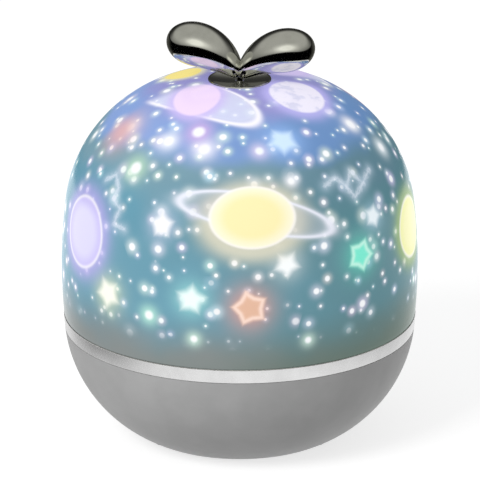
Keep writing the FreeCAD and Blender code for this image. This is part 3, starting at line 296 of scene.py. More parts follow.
def makeCard(name, points, faces, glow, smooth=False):
    # a piece of the room that only mirrors see
    finish = glow.finish
    light = finish.node("ShaderNodeEmission", {}, {"Color": glow, "Strength": 1.0})
    finish.node("ShaderNodeOutputMaterial", {}, {"Surface": light})
    card = makeMesh(name, points, faces, finish.owner, smooth)
    for ray in ("camera", "diffuse", "shadow", "transmission"):
        setattr(card, "visible_" + ray, False)


wall = {
    "radius": 0.078,
    "bottom": 0.086,
    "top": 0.1415,
    "greyFrom": 10.0,
    "greyTo": 70.0,
    "grey": paint(92, 92, 86),
}


def makeWall(settings, count=64):
    # an upright band close round the crown, black in front and grey behind, which hides the white
    # floor from the leaves
    low = discPoints(settings["radius"], settings["bottom"], count)
    high = discPoints(settings["radius"], settings["top"], count)
    finish = Finish("wallBlack")
    x, y, z = finish.parts(finish.place())
    shade = finish.mixed(y.step(settings["greyFrom"], settings["greyTo"]), blackTone, settings["grey"])
    makeCard("mirrorWall", np.concatenate([low, high]), gridFaces(2, count), shade)


# Angles are in degrees above the horizon, or aside from the front
surround = {
    "radius": 1.5,
    "middle": 0.135,
    "tone": paint(255, 255, 246),
    "horizon": (4.0, 0.16),
    "overhead": (40.0, 0.42),
    "patchLevel": 0.95,
    "patchRise": 54.0,
    "patchTall": 17.0,
    "patchWide": 42.0,
    "backShade": 0.85,
    "backAside": (105.0, 150.0),
    "backRise": (34.0, 18.0),
    "blackRise": (5.0, 10.0),
    "blackHump": 22.0,
    "blackWide": 62.0,
}


def makeSurround(settings, rows=24, columns=48):
    # half a sphere round the crown: centre + radius (cos rise sin turn, -cos rise cos turn, sin rise)
    rise = np.radians(np.linspace(0.0, 90.0, rows + 1))[:-1, None]
    turn = np.radians(np.linspace(0.0, 360.0, columns + 1))[None, :-1]
    reach, middle = settings["radius"], settings["middle"]
    way = [np.cos(rise) * np.sin(turn), -np.cos(rise) * np.cos(turn), np.sin(rise) + 0 * turn]
    grid = np.stack(way, axis=2) * reach
    points = np.concatenate([grid.reshape(-1, 3), [[0.0, 0.0, reach]]]) + [0.0, 0.0, middle]
    top = fanFaces(rows * columns, (rows - 1) * columns, columns)
    faces = gridFaces(rows, columns).tolist() + top.tolist()
    finish = Finish("mirrorRoom")
    x, y, z = finish.parts(finish.place())
    degrees = 180.0 / math.pi
    up = (z - middle / millimetre).maths("ARCTAN2", length(x, y)) * degrees
    aside = x.maths("ARCTAN2", -y) * degrees
    (lowRise, lowLevel), (highRise, highLevel) = settings["horizon"], settings["overhead"]
    back = aside.maths("ABSOLUTE").step(*settings["backAside"]) * up.step(*settings["backRise"])
    level = up.step(lowRise, highRise, lowLevel, highLevel) * (back * -settings["backShade"] + 1.0)
    patch = (up - settings["patchRise"]).glow(settings["patchTall"]) * aside.glow(settings["patchWide"])
    hump = aside.glow(settings["blackWide"]) * settings["blackHump"]
    level = (level + patch * settings["patchLevel"]) * (up - hump).step(*settings["blackRise"])
    colour = finish.mixed(level.least(1.0), blackTone, settings["tone"])
    makeCard("mirrorRoom", points, faces, colour, smooth=True)


# In millimetres: where each shade lies, how wide it is across and along, and how dark
floorShade = {
    "shades": [((-175.0, -10.0), (75.0, 95.0), 0.85), ((190.0, -10.0), (80.0, 120.0), 0.45)],
    "half": (0.5, 0.3),
    "height": 0.0002,
}


def makeShade(settings):
    # a soft grey sheet just over the floor on each side, so that the ring isn't one even white
    finish = Finish("floorShade")
    x, y, z = finish.parts(finish.place())
    level = 1.0
    for (atX, atY), (wide, long), dark in settings["shades"]:
        level = level - length((x - atX) / wide, (y - atY) / long).glow(1.0) * dark
    colour = finish.mixed(level, blackTone, whiteTone)
    (wide, long), height = settings["half"], settings["height"]
    points = [(side * wide, end * long, height) for side, end in ((-1, -1), (1, -1), (1, 1), (-1, 1))]
    makeCard("floorShade", points, [(0, 1, 2, 3)], colour)


lamps = [
    {"name": "keyLamp", "at": (-0.75, -0.95, 0.95), "size": 0.6, "watts": 14.5},
    {"name": "fillLamp", "at": (0.9, -0.7, 0.6), "size": 0.8, "watts": 0.3},
]
lampAim = (0.0, 0.0, 0.07)


def makeLamp(settings):
    # a square soft lamp, turned so that its face looks at the aim
    data = bpy.data.lights.new(settings["name"], "AREA")
    data.shape = "SQUARE"
    data.size = settings["size"]
    data.energy = settings["watts"]
    lamp = bpy.data.objects.new(settings["name"], data)
    lamp.location = settings["at"]
    lamp.visible_glossy = False  # the plated pieces mirror the soft patch instead
    back = np.array(settings["at"]) - np.array(lampAim)
    flat = math.hypot(back[0], back[1])
    lamp.rotation_euler = (math.atan2(flat, back[2]), 0.0, math.atan2(back[1], back[0]) + math.pi / 2)
    bpy.context.scene.collection.objects.link(lamp)


makeWorld(room)
makeFloor(floorSheet)
makeWall(wall)
makeSurround(surround)
makeShade(floorShade)
for lamp in lamps:
    makeLamp(lamp)
bpy.context.scene.view_settings.view_transform = "Standard"
print("stage made")


# Shapes: everything is worked out in millimetres and put into the mesh in metres


def arc(centreOut, centreUp, radius, start, end, count):
    # points on a circle in the profile's plane, from one angle to another
    angle = np.linspace(start, end, count)
    return np.stack([centreOut + radius * np.cos(angle), centreUp + radius * np.sin(angle)], axis=1)


def eased(outline, reach, count=4, longest=0.45, gentle=0.12):
    # a closed outline with each corner swapped for a short curve: (1-s)^2 start + 2s(1-s) corner + s^2 end;
    # the curve takes at most the share longest of a side, and a corner that turns less than gentle stays
    before = np.roll(outline, 1, axis=0) - outline
    after = np.roll(outline, -1, axis=0) - outline
    longBefore = np.linalg.norm(before, axis=1, keepdims=True)
    longAfter = np.linalg.norm(after, axis=1, keepdims=True)
    start = outline + before / longBefore * np.minimum(reach, longBefore * longest)
    end = outline + after / longAfter * np.minimum(reach, longAfter * longest)
    share = np.linspace(0.0, 1.0, count)[None, :, None]
    rest = 1 - share
    curve = rest**2 * start[:, None] + 2 * share * rest * outline[:, None] + share**2 * end[:, None]
    turn = np.abs(np.cross(before / longBefore, after / longAfter))[:, None, None]
    sharp = turn > gentle
    points = np.where(sharp, curve, outline[:, None])
    keep = np.ones(points.shape[:2], dtype=bool)
    keep[:, 1:] = sharp[:, 0]
    return points[keep]


def turned(name, outline, material, segments):
    # each outline point (out, up) goes round the axis: (out cos t, out sin t, up)
    following = np.roll(outline, -1, axis=0)
    area = np.sum(outline[:, 0] * following[:, 1] - following[:, 0] * outline[:, 1])
    if area < 0:
        outline = outline[::-1]
    angle = np.linspace(0.0, 2.0 * np.pi, segments, endpoint=False)
    out, up = outline[:, 0, None], outline[:, 1, None]
    grid = np.stack([out * np.cos(angle), out * np.sin(angle), up + 0.0 * angle], axis=2)
    faces = gridFaces(len(outline), segments, closed=True)
    return makeMesh(name, grid.reshape(-1, 3) * millimetre, faces, material)


# The night sky print that the dome and the films carry

sky = {
    # left and right background tones: the right ones are darker, painted shade on the side away from the key
    # lamp
    "left": paint(104, 156, 176),
    "right": paint(92, 136, 146),
    "shadeAcross": (-45.0, 50.0),
    "sidewaysClouds": 60.0,
    "crown": paint(150, 148, 206),
    "crownRise": (117.0, 123.5),
    "crownClouds": 3.0,
    "dots": paint(250, 252, 255),
    "quiet": (49.0, 60.0),
    "cloudSize": 22.0,
    "fineSize": 7.0,
    "jointTurn": 10.0,
    "jointFade": (0.5, 7.0),
}

# tones of the left and the right, the right darker as painted shade, how far the clouds shift them,
# the heights between which they come in, and how much of them: towards the seam, in the band under the
# shoulder, and above it
skyLayers = [
    (paint(134, 138, 136), paint(98, 114, 104), 12.0, (62.0, 43.0), 0.95),
    (paint(132, 160, 172), paint(102, 132, 150), 20.0, (92.0, 104.0), 0.6),
    (paint(136, 164, 218), paint(104, 142, 192), 12.0, (106.0, 113.0), 1.0),
]

# the dome's outside in three arcs: centre out and up, radius, and the height where the arc ends
domeArcs = {
    "side": ((-126.0, 59.0), 186.0, 82.0),
    "shoulder": ((10.644, 76.02), 48.3, 118.8),
    "crown": ((0.0, 13.22), 112.0, 126.0),
}


def domeFacts(height):
    # radius and outward lean of the dome's surface at a height: side, shoulder or crown arc
    for (centreOut, centreUp), radius, top in domeArcs.values():
        if height <= top:
            rise = (height - centreUp) / radius
            out = math.sqrt(1.0 - rise * rise)
            return centreOut + radius * out, out, rise


def spot(finish, place, azimuth, height):
    # two values measured from a point of the dome: along its level circle and up its wall
    radius, out, rise = domeFacts(height)
    turn = math.radians(azimuth)
    right = (math.cos(turn), math.sin(turn), 0.0)
    up = (-rise * math.sin(turn), rise * math.cos(turn), out)
    centre = np.array([radius * math.sin(turn), -radius * math.cos(turn), height])
    across = finish.along(place, right) - float(np.dot(centre, right))
    above = finish.along(place, up) - float(np.dot(centre, up))
    return across, above


def rotated(across, above, degrees):
    # two values measured along axes that are turned by an angle
    turn = math.radians(degrees)
    return across * math.cos(turn) + above * math.sin(turn), above * math.cos(turn) - across * math.sin(turn)


def star(across, above, tip, notch, degrees):
    # signed distance to a five-point star: the angle is folded into half a point, then measured to its edge
    half = math.pi / 5
    side = (notch * math.cos(half) - tip, notch * math.sin(half))
    lean = math.atan2(-side[0], side[1])
    size = math.hypot(*side)
    folded = (above.maths("ARCTAN2", across) + math.radians(degrees)).maths("PINGPONG", half)
    away = length(across, above)
    return away * (folded - lean).maths("COSINE") - tip * side[1] / size, away


def segment(across, above, start, end):
    # distance to a straight stroke from start to end
    way = np.subtract(end, start)
    size = float(np.hypot(*way))
    way = way / size
    run = across * float(way[0]) + above * float(way[1]) - float(np.dot(start, way))
    off = above * float(way[0]) - across * float(way[1]) - float(start[1] * way[0] - start[0] * way[1])
    beyond = run - run.most(0.0).least(size)
    return (beyond * beyond + off * off) ** 0.5


planets = [
    {"at": (4.4, 94.6), "wide": 14.2, "tall": 10.2, "heart": paint(252, 240, 182),
     "edge": paint(255, 248, 220), "halo": paint(226, 220, 196), "haloWidth": 5.2, "drop": 1.2,
     "ring": (1.5, 1.3, 25.6, 6.0, -12.0), "ringFill": paint(186, 192, 200)},
    {"at": (-62.5, 80.0), "wide": 11.6, "tall": 12.0, "heart": paint(218, 214, 246),
     "edge": paint(200, 192, 242), "halo": paint(180, 172, 232), "haloWidth": 4.5,
     "drop": 0.0, "ring": None},
    {"at": (75.0, 77.8), "wide": 10.4, "tall": 10.2, "heart": paint(250, 248, 190),
     "edge": paint(244, 246, 170), "halo": paint(160, 188, 112), "haloWidth": 4.0,
     "drop": 0.0, "ring": None},
]

stars = [
    {"at": (42.8, 77.4), "tip": 5.3, "notch": 3.7, "turn": 8, "soft": 1.3,
     "fill": paint(124, 238, 212), "rim": paint(206, 252, 236), "halo": paint(96, 200, 182)},
    {"at": (3.2, 64.6), "tip": 5.8, "notch": 4.1, "turn": 40, "soft": 1.2,
     "fill": paint(228, 184, 158), "rim": paint(255, 226, 212), "halo": paint(216, 160, 150)},
    {"at": (-46.8, 63.2), "tip": 4.9, "notch": 3.3, "turn": 25, "soft": 1.6,
     "fill": paint(252, 253, 240), "rim": None, "halo": paint(206, 218, 190)},
    {"at": (-15.6, 66.9), "tip": 4.5, "notch": 3.1, "turn": 60, "soft": 1.6,
     "fill": paint(240, 255, 252), "rim": None, "halo": paint(150, 214, 214)},
    {"at": (15.3, 78.9), "tip": 4.0, "notch": 2.7, "turn": 16, "soft": 1.4,
     "fill": paint(250, 254, 255), "rim": None, "halo": paint(190, 206, 210)},
    {"at": (-26.8, 90.5), "tip": 3.8, "notch": 2.8, "turn": 50, "soft": 1.4,
     "fill": paint(252, 252, 255), "rim": None, "halo": paint(190, 202, 224)},
    {"at": (50.5, 88.7), "tip": 3.4, "notch": 2.5, "turn": 5, "soft": 1.3,
     "fill": paint(240, 250, 255), "rim": None, "halo": paint(164, 198, 216)},
    {"at": (21.4, 114.9), "tip": 4.8, "notch": 3.4, "turn": 30, "soft": 1.6,
     "fill": paint(208, 232, 255), "rim": None, "halo": paint(150, 188, 244)},
]

# azimuth, height, radius and colour
softDots = [
    (-16.4, 113.2, 2.7, paint(248, 246, 255)),
    (-35.1, 113.8, 2.4, paint(250, 252, 255)),
    (-62.7, 113.8, 2.2, paint(240, 246, 255)),
    (65.8, 114.2, 2.2, paint(250, 248, 255)),
    (73.6, 105.2, 2.2, paint(240, 250, 255)),
    (-44.2, 105.1, 3.0, paint(190, 224, 196)),
    (19.9, 104.4, 1.5, paint(250, 250, 255)),
    (-30.0, 59.4, 2.2, paint(190, 240, 222)),
    (22.2, 51.9, 1.6, paint(200, 226, 214)),
    (-14.6, 53.2, 1.7, paint(206, 234, 218)),
    (-66.0, 112.0, 5.0, paint(222, 176, 176)),
    (-22.0, 119.0, 3.0, paint(214, 180, 232)),
    (9.0, 113.0, 2.0, paint(226, 214, 240)),
]

# line figures, as azimuth and height from point to point
figures = [
    [(-56.0, 99.4), (-52.0, 101.8), (-48.5, 98.2), (-49.5, 94.8), (-45.0, 92.4), (-46.0, 87.4),
     (-41.0, 87.0)],
    [(33.0, 102.2), (38.5, 103.4), (42.0, 100.0), (46.5, 103.6), (50.5, 99.6), (57.0, 102.6)],
    [(42.0, 100.0), (44.5, 96.2), (50.5, 99.6)],
]


# cell size, smallest and largest dot in millimetres, halo width as a share of the dot, and halo strength
scatter = [
    (6.2, 0.4, 0.85, 1.9, 0.5),
    (8.0, 0.75, 1.25, 1.9, 0.7),
    (11.0, 1.1, 1.7, 2.0, 0.75),
]

# soft dots: halo and core as shares of the radius, how much the halo shows, and the largest with a core
softLook = {"halo": 1.5, "haloShare": 0.9, "core": 0.3, "largest": 4.0}


def skyColour(finish, place, zoom=1.0):
    # background tones by height, with painted shade darkening the right side, then scattered dots, soft
    # dots, line figures, stars and planets over them
    if zoom != 1.0:
        place = finish.vector("SCALE", place, Scale=zoom)
    x, y, z = finish.parts(place)
    # the print repeats once on the far side; its joints are 100 degrees round one way and 80 the other
    turn = math.radians(sky["jointTurn"])
    across = x * math.sin(turn) - y * math.cos(turn)
    side = across.maths("SIGN")
    joint = across.maths("ABSOLUTE").step(*sky["jointFade"])  # large motifs fade out towards the joint
    folded = finish.vector("MULTIPLY", place, finish.joined(side, side, 1.0))
    clouds = finish.noise(place, sky["cloudSize"], 2.0, 0.45) - 0.5
    fine = finish.noise(place, sky["fineSize"], 2.0, 0.5) - 0.5
    # the tones change from left to right along x: the print's own tint, made darker on the right as painted
    # shade
    shadeAcross = (x + clouds * sky["sidewaysClouds"]).step(*sky["shadeAcross"])
    tone = finish.mixed(shadeAcross, sky["left"], sky["right"])
    for left, right, shift, (start, end), most in skyLayers:
        layer = finish.mixed(shadeAcross, left, right)
        tone = finish.mixed((z + clouds * shift).step(start, end, 0.0, most), tone, layer)
    crown = (z + fine * sky["crownClouds"]).step(*sky["crownRise"])
    tone = finish.mixed(crown, tone, sky["crown"])
    quiet = z.step(*sky["quiet"])  # few dots close over the seam
    for cell, smallest, largest, haloWidth, strength in scatter:
        core, halo, tint = scatteredDots(finish, place, cell, smallest, largest, haloWidth)
        tone = finish.mixed(halo * quiet * strength, tone, tint)
        tone = finish.mixed(core * quiet, tone, sky["dots"])
    for azimuth, height, radius, colour in softDots:
        across, above = spot(finish, folded, azimuth, height)
        away = length(across, above)
        halo = away.glow(radius * softLook["halo"]) * joint * softLook["haloShare"]
        tone = finish.mixed(halo, tone, colour)
        if radius < softLook["largest"]:
            tone = finish.mixed(away.step(radius, radius * softLook["core"]), tone, sky["dots"])
    for path in figures:
        tone = strokes(finish, folded, path, tone)
    for one in stars:
        tone = starOver(finish, folded, one, tone)
    for one in planets:
        tone = planetOver(finish, folded, one, tone)
    return crownPlanets(finish, folded, side, joint, tone)


# scattered dots: how far off the wall a cell's middle may lie and where a halo ends, as shares of the
# cell, the edge of a dot as shares of its radius, and how much of a random tint its halo has
dotLook = {
    "loose": 0.8,
    "off": (0.27, 0.25),
    "haloEnd": (0.45, 0.1),
    "edge": (1.05, 0.5),
    "halo": paint(206, 226, 238),
    "tint": 0.22,
}


def scatteredDots(finish, place, cell, least, most, haloWidth):
    # one round dot for each random cell whose middle lies close to the wall: its distance is measured
    # along the wall, and cells whose middle is too far off the wall are left out
    sockets = {"Vector": place, "Scale": 1.0 / cell, "Randomness": dotLook["loose"]}
    settings = {"feature": "F1"}
    middle = finish.node("ShaderNodeTexVoronoi", settings, sockets, output="Position")
    chance = finish.node("ShaderNodeTexVoronoi", settings, sockets, output="Color")
    way = finish.vector("SUBTRACT", middle, place)
    facing = finish.node("ShaderNodeTexCoord", output="Normal")
    off = finish.along(way, facing)
    whole = finish.along(way, way)
    near = (whole - off * off).most(0.0) ** 0.5
    offStart, offEnd = dotLook["off"]
    shown = off.maths("ABSOLUTE").step(cell * offStart, cell * offEnd)
    luck = finish.along(chance, (1, 0, 0))
    radius = luck * (most - least) + least
    core = (near / radius).step(*dotLook["edge"]) * shown
    haloStart, haloEnd = dotLook["haloEnd"]
    halo = (near / (radius * haloWidth)).glow(1.0) * shown * near.step(cell * haloStart, cell * haloEnd)
    tint = finish.mixed(dotLook["tint"], dotLook["halo"], chance)
    return core, halo, tint


lineLook = {
    "haloWidth": 2.2,
    "haloShare": 0.55,
    "halo": paint(176, 198, 214),
    "width": 0.85,
    "line": paint(228, 236, 248),
    "fuzzSize": 2.2,
    "fuzz": (0.3, 0.62),
    "sway": 1.2,
}


def strokes(finish, folded, path, tone):
    # soft bright lines from point to point of a figure, broken up by a fine noise
    middle = path[len(path) // 2]
    across, above = spot(finish, folded, *middle)
    radius, out, rise = domeFacts(middle[1])
    flat = [
        (math.radians(azimuth - middle[0]) * radius, (height - middle[1]) / out)
        for azimuth, height in path
    ]
    nearest = None
    for start, end in zip(flat, flat[1:]):
        away = segment(across, above, start, end)
        nearest = away if nearest is None else nearest.least(away)
    fuzz = finish.noise(folded, lineLook["fuzzSize"], 3.0, 0.7).step(*lineLook["fuzz"])
    halo = nearest.glow(lineLook["haloWidth"]) * lineLook["haloShare"]
    tone = finish.mixed(halo, tone, lineLook["halo"])
    line = (nearest + (fuzz - 0.5) * lineLook["sway"]).glow(lineLook["width"])
    return finish.mixed(line * (fuzz * 0.5 + 0.3), tone, lineLook["line"])


starLook = {"halo": 1.3, "haloShare": 0.9, "rimInset": 0.5, "rimWidth": 0.75, "rimShare": 0.8}


def starOver(finish, folded, one, tone):
    # a soft halo, the filled star, and for some a pale line just inside its edge
    across, above = spot(finish, folded, *one["at"])
    edge, away = star(across, above, one["tip"], one["notch"], one["turn"])
    halo = away.glow(one["tip"] * starLook["halo"]) * starLook["haloShare"]
    tone = finish.mixed(halo, tone, one["halo"])
    tone = finish.mixed(edge.step(one["soft"], -one["soft"]), tone, one["fill"])
    if one["rim"] is not None:
        rim = (edge + starLook["rimInset"]).glow(starLook["rimWidth"]) * starLook["rimShare"]
        tone = finish.mixed(rim, tone, one["rim"])
    return tone


# the ring's lines as width, share and colour; where the face pales, ends and has its rim as shares of
# the planet
planetLook = {
    "haloShare": 0.8,
    "ringFill": (1.0, 0.9, 0.0, 0.35),
    "ringLines": [(1.0, 0.35, paint(214, 222, 232)), (0.42, 0.9, paint(236, 238, 250))],
    "pale": (0.55, 1.0),
    "edge": (1.04, 0.94),
    "rimAt": 0.99,
    "rimWidth": 0.6,
    "rimShare": 0.6,
    "rim": paint(255, 252, 250),
}


def planetOver(finish, folded, one, tone):
    # a halo that may hang a little lower, a leaning ring behind, and the round face with its rim
    across, above = spot(finish, folded, *one["at"])
    reach = length(across / one["wide"], above / one["tall"])
    lower = length(across / one["wide"], (above + one["drop"]) / one["tall"])
    halo = (lower - 1.0).most(0.0).glow(one["haloWidth"] / one["wide"])
    tone = finish.mixed(halo * planetLook["haloShare"], tone, one["halo"])
    if one["ring"] is not None:
        shiftAcross, shiftAbove, long, short, lean = one["ring"]
        u, v = rotated(across - shiftAcross, above - shiftAbove, lean)
        loop = length(u / long, v / short)
        tone = finish.mixed(loop.step(*planetLook["ringFill"]), tone, one["ringFill"])
        line = (loop - 1.0) * short
        for width, share, colour in planetLook["ringLines"]:
            tone = finish.mixed(line.glow(width) * share, tone, colour)
    face = finish.mixed(reach.step(*planetLook["pale"]), one["heart"], one["edge"])
    tone = finish.mixed(reach.step(*planetLook["edge"]), tone, face)
    rim = ((reach - planetLook["rimAt"]) * one["wide"]).glow(planetLook["rimWidth"])
    return finish.mixed(rim * planetLook["rimShare"], tone, planetLook["rim"])


# in millimetres seen from above: middle and half sizes of each form; planetFace and moonHalo hold the
# far half's colour and the near half's
crownPair = {
    "rise": (100.0, 108.0),
    "ring": ((-12.6, -16.4), (23.0, 8.6), -38.6),
    "ringFill": paint(224, 228, 250),
    "ringLine": paint(246, 244, 255),
    "ringWidth": 0.7,
    "planet": ((-14.2, -15.6), (8.0, 10.6)),
    "planetEdge": (1.05, 0.9),
    "planetHalo": paint(206, 190, 244),
    "planetFace": (paint(214, 200, 246), paint(240, 218, 250)),
    "moon": ((19.0, -11.5), (9.4, 11.0)),
    "moonEdge": (1.04, 0.92),
    "moonHalo": (paint(230, 226, 190), paint(190, 184, 244)),
    "moonFace": paint(250, 232, 140),
    "moonTones": (paint(240, 236, 252), paint(206, 208, 236)),
    "farSize": 1.5,
    "haloWidth": 0.3,
    "haloShare": 0.8,
}


def discOver(finish, reach, edge, shown, tone, halo, face):
    # a halo outside a round form and its face inside, from the distance as a share of its size
    glow = (reach - 1.0).most(0.0).glow(crownPair["haloWidth"]) * shown * crownPair["haloShare"]
    tone = finish.mixed(glow, tone, halo)
    return finish.mixed(reach.step(*edge) * shown, tone, face)


def crownPlanets(finish, folded, side, joint, tone):
    # a ringed planet on one side of the sprout and a moon on the other; on the far half of the print
    # the moon is a smaller plain yellow one
    x, y, z = finish.parts(folded)
    shown = z.step(*crownPair["rise"]) * joint
    near = side.step(-0.5, 0.5)
    (atX, atY), (long, short), lean = crownPair["ring"]
    u, v = rotated(x - atX, y - atY, lean)
    loop = length(u / long, v / short)
    tone = finish.mixed(loop.step(1.0, 0.86, 0.0, 0.75) * shown, tone, crownPair["ringFill"])
    line = ((loop - 1.0) * short).glow(crownPair["ringWidth"])
    tone = finish.mixed(line * shown, tone, crownPair["ringLine"])
    (atX, atY), (wide, tall) = crownPair["planet"]
    reach = length((x - atX) / wide, (y - atY) / tall)
    face = finish.mixed(near, *crownPair["planetFace"])
    tone = discOver(finish, reach, crownPair["planetEdge"], shown, tone, crownPair["planetHalo"], face)
    (atX, atY), (wide, tall) = crownPair["moon"]
    reach = length((x - atX) / wide, (y - atY) / tall) * side.step(-0.5, 0.5, crownPair["farSize"], 1.0)
    seas = finish.noise(folded, 5.0, 3.0, 0.6).step(0.5, 0.66, 0.0, 0.6)
    face = finish.mixed(near, crownPair["moonFace"], finish.mixed(seas, *crownPair["moonTones"]))
    halo = finish.mixed(near, *crownPair["moonHalo"])
    return discOver(finish, reach, crownPair["moonEdge"], shown, tone, halo, face)


# Dome

dome = {
    "glow": 0.72,
    "lit": 0.34,
    "roughness": 0.22,
    "thickness": 2.0,
    "sideTop": 7.1,
    "foot": 42.75,
    "innerFoot": 47.0,
    "seat": [(10.8, 123.4), (1.35, 123.4), (1.35, 121.3), (12.5, 121.3)],
    "skirt": [(55.8, 44.5), (55.8, 39.2), (57.6, 39.2), (57.6, 42.75)],
    "easing": 0.3,
}


def domeFinish(settings):
    # the print glows by itself and takes a little of the room's light, under a faint ripple
    finish = Finish("domePrint")
    place = finish.place()
    colour = skyColour(finish, place)
    glow = finish.mixed(1.0, colour, grey(settings["glow"]), "MULTIPLY")
    lit = finish.mixed(1.0, colour, grey(settings["lit"]), "MULTIPLY")
    rough = finish.noise(place, 3.0) * 0.06 + (settings["roughness"] - 0.03)
    return finish.surface(
        Base_Color=lit,
        Emission_Color=glow,
        Emission_Strength=1.0,
        Roughness=rough,
        Normal=finish.bump(finish.noise(place, 9.0), 0.05),
        IOR=1.46,
        Specular_IOR_Level=0.3,
    )


def domeArc(name, inset, start, end, count):
    # part of one of the dome's arcs, moved in by the inset
    (centreOut, centreUp), radius = domeArcs[name][:2]
    return arc(centreOut, centreUp, radius - inset, start, end, count)


def domeOutline(settings):
    # side, shoulder and crown arcs outside, the sprout's seat, the same arcs one wall further in, the skirt
    sideUp, sideRadius = domeArcs["side"][0][1], domeArcs["side"][1]
    crownUp, crownRadius = domeArcs["crown"][0][1], domeArcs["crown"][1]
    shoulderOut, shoulderUp = domeArcs["shoulder"][0]
    sideTop = math.radians(settings["sideTop"])
    crownStart = math.atan2(shoulderUp - crownUp, shoulderOut)

    def wallArcs(inset, low):
        start = math.asin((low - sideUp) / (sideRadius - inset))
        side = domeArc("side", inset, start, sideTop, 26)
        return side, domeArc("shoulder", inset, sideTop, crownStart, 44)

    thickness, seat = settings["thickness"], np.array(settings["seat"])
    side, shoulder = wallArcs(0.0, settings["foot"])
    crown = domeArc("crown", 0.0, crownStart, math.acos(seat[0, 0] / crownRadius), 16)
    innerSide, innerShoulder = wallArcs(thickness, settings["innerFoot"])
    innerEnd = math.acos(seat[-1, 0] / (crownRadius - thickness))
    innerCrown = domeArc("crown", thickness, innerEnd, crownStart, 14)
    outline = [side, shoulder[1:], crown[1:], seat, innerCrown, innerShoulder[::-1][1:]]
    outline += [innerSide[::-1][1:], np.array(settings["skirt"])]
    return eased(np.concatenate(outline), settings["easing"])


outerDome = turned("domeShell", domeOutline(dome), domeFinish(dome), 256)
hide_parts("outer_dome")
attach(outerDome, "dome")
print("dome made")


# Trim ring

# outline: bright face, pocket for the dome's skirt, flange under the deck, and the lip inside the bowl
ring = {
    "tone": (0.78, 0.78, 0.78, 1.0),
    "roughness": 0.26,
    "edge": 0.5,
    "outline": [
        (59.04, 37.7), (59.5, 42.7), (57.9, 42.7), (57.9, 38.9), (52.5, 38.9), (52.5, 36.9),
        (54.2, 36.9), (54.2, 33.9), (55.9, 33.9), (55.9, 36.9), (56.5, 36.9), (56.5, 37.7),
    ],
}


def ringFinish(settings):
    # satin plating: slow pale clouds and a fine skin, with no streaks
    finish = Finish("satinPlate")
    place = finish.place()
    cloud = finish.noise(place, 11.0, 3.0, 0.55).step(0.3, 0.7, 0.9, 1.0)
    tone = finish.mixed(cloud, blackTone, settings["tone"])
    skin = finish.noise(place, 0.5, 2.0, 0.5)
    rough = skin * 0.08 + (settings["roughness"] - 0.04)
    return finish.surface(Base_Color=tone, Metallic=1.0, Roughness=rough, Normal=finish.bump(skin, 0.004))


trimRing = turned("trimBand", eased(np.array(ring["outline"]), ring["edge"], 7), ringFinish(ring), 256)
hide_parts("trim_ring")
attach(trimRing, "base")
print("ring made")


# Sprout and its dish

sprout = {
    "foot": (0.0, 125.3),
    "rise": (6.6, 135.0),
    "crest": (15.4, 137.2),
    "tip": (24.9, 135.7),
    "swell": 10.4,
    "swellPower": 0.52,
    "closePower": 3.1,
    "broad": 1.35,
    "flare": 0.5,
    "tilt": 1.8,
    "turn": -7.5,
    "start": 0.05,
    "tone": (0.76, 0.76, 0.72, 1.0),
    "haze": (0.68, 0.68, 0.64, 1.0),
    "roughness": 0.09,
}


def chromeFinish(settings):
    # dark plating with a faint haze in its tone and gloss
    finish = Finish("darkChrome")
    place = finish.place()
    haze = finish.noise(place, 5.0, 3.0, 0.6)
    tone = finish.mixed(haze.step(0.35, 0.7), settings["tone"], settings["haze"])
    rough = haze * 0.04 + (settings["roughness"] - 0.02)
    return finish.surface(Base_Color=tone, Metallic=1.0, Roughness=rough)


def leafGrid(settings, steps=72, around=48):
    # spine: cubic through foot, rise, crest and tip; round it an ellipse whose half height is
    # swell s^swellPower root(1 - s^closePower) and whose half width is that times broad + flare (1 - s)^3
    share = 0.5 - 0.5 * np.cos(np.linspace(settings["start"], math.pi, steps)[:-1])
    rest = 1.0 - share
    marks = np.array([settings["foot"], settings["rise"], settings["crest"], settings["tip"]])
    weights = np.stack([rest**3, 3 * rest**2 * share, 3 * rest * share**2, share**3], axis=1)
    spine = weights @ marks
    slopes = np.stack([rest**2, 2 * rest * share, share**2], axis=1) @ np.diff(marks, axis=0)
    slopes = slopes / np.linalg.norm(slopes, axis=1, keepdims=True)
    closing = np.sqrt(1.0 - share ** settings["closePower"])
    tall = settings["swell"] * share ** settings["swellPower"] * closing
    wide = tall * (settings["broad"] + settings["flare"] * rest**3)
    angle = np.linspace(0.0, 2.0 * np.pi, around, endpoint=False)
    lift = tall[:, None] * np.cos(angle)
    x = spine[:, :1] - slopes[:, 1:] * lift
    z = spine[:, 1:] + slopes[:, :1] * lift
    y = wide[:, None] * np.sin(angle)
    grid = np.stack([x, y, z], axis=2)
    ends = np.array([[marks[0, 0], 0.0, marks[0, 1]], [marks[3, 0], 0.0, marks[3, 1]]])
    return grid, ends


def swung(points, axis, degrees, centre=(0.0, 0.0, 0.0)):
    # points turned about a level or upright axis through a centre
    turn = math.radians(degrees)
    c, s = math.cos(turn), math.sin(turn)
    matrix = {"z": [[c, -s, 0], [s, c, 0], [0, 0, 1]], "y": [[c, 0, s], [0, 1, 0], [-s, 0, c]]}[axis]
    return (points - centre) @ np.array(matrix).T + centre


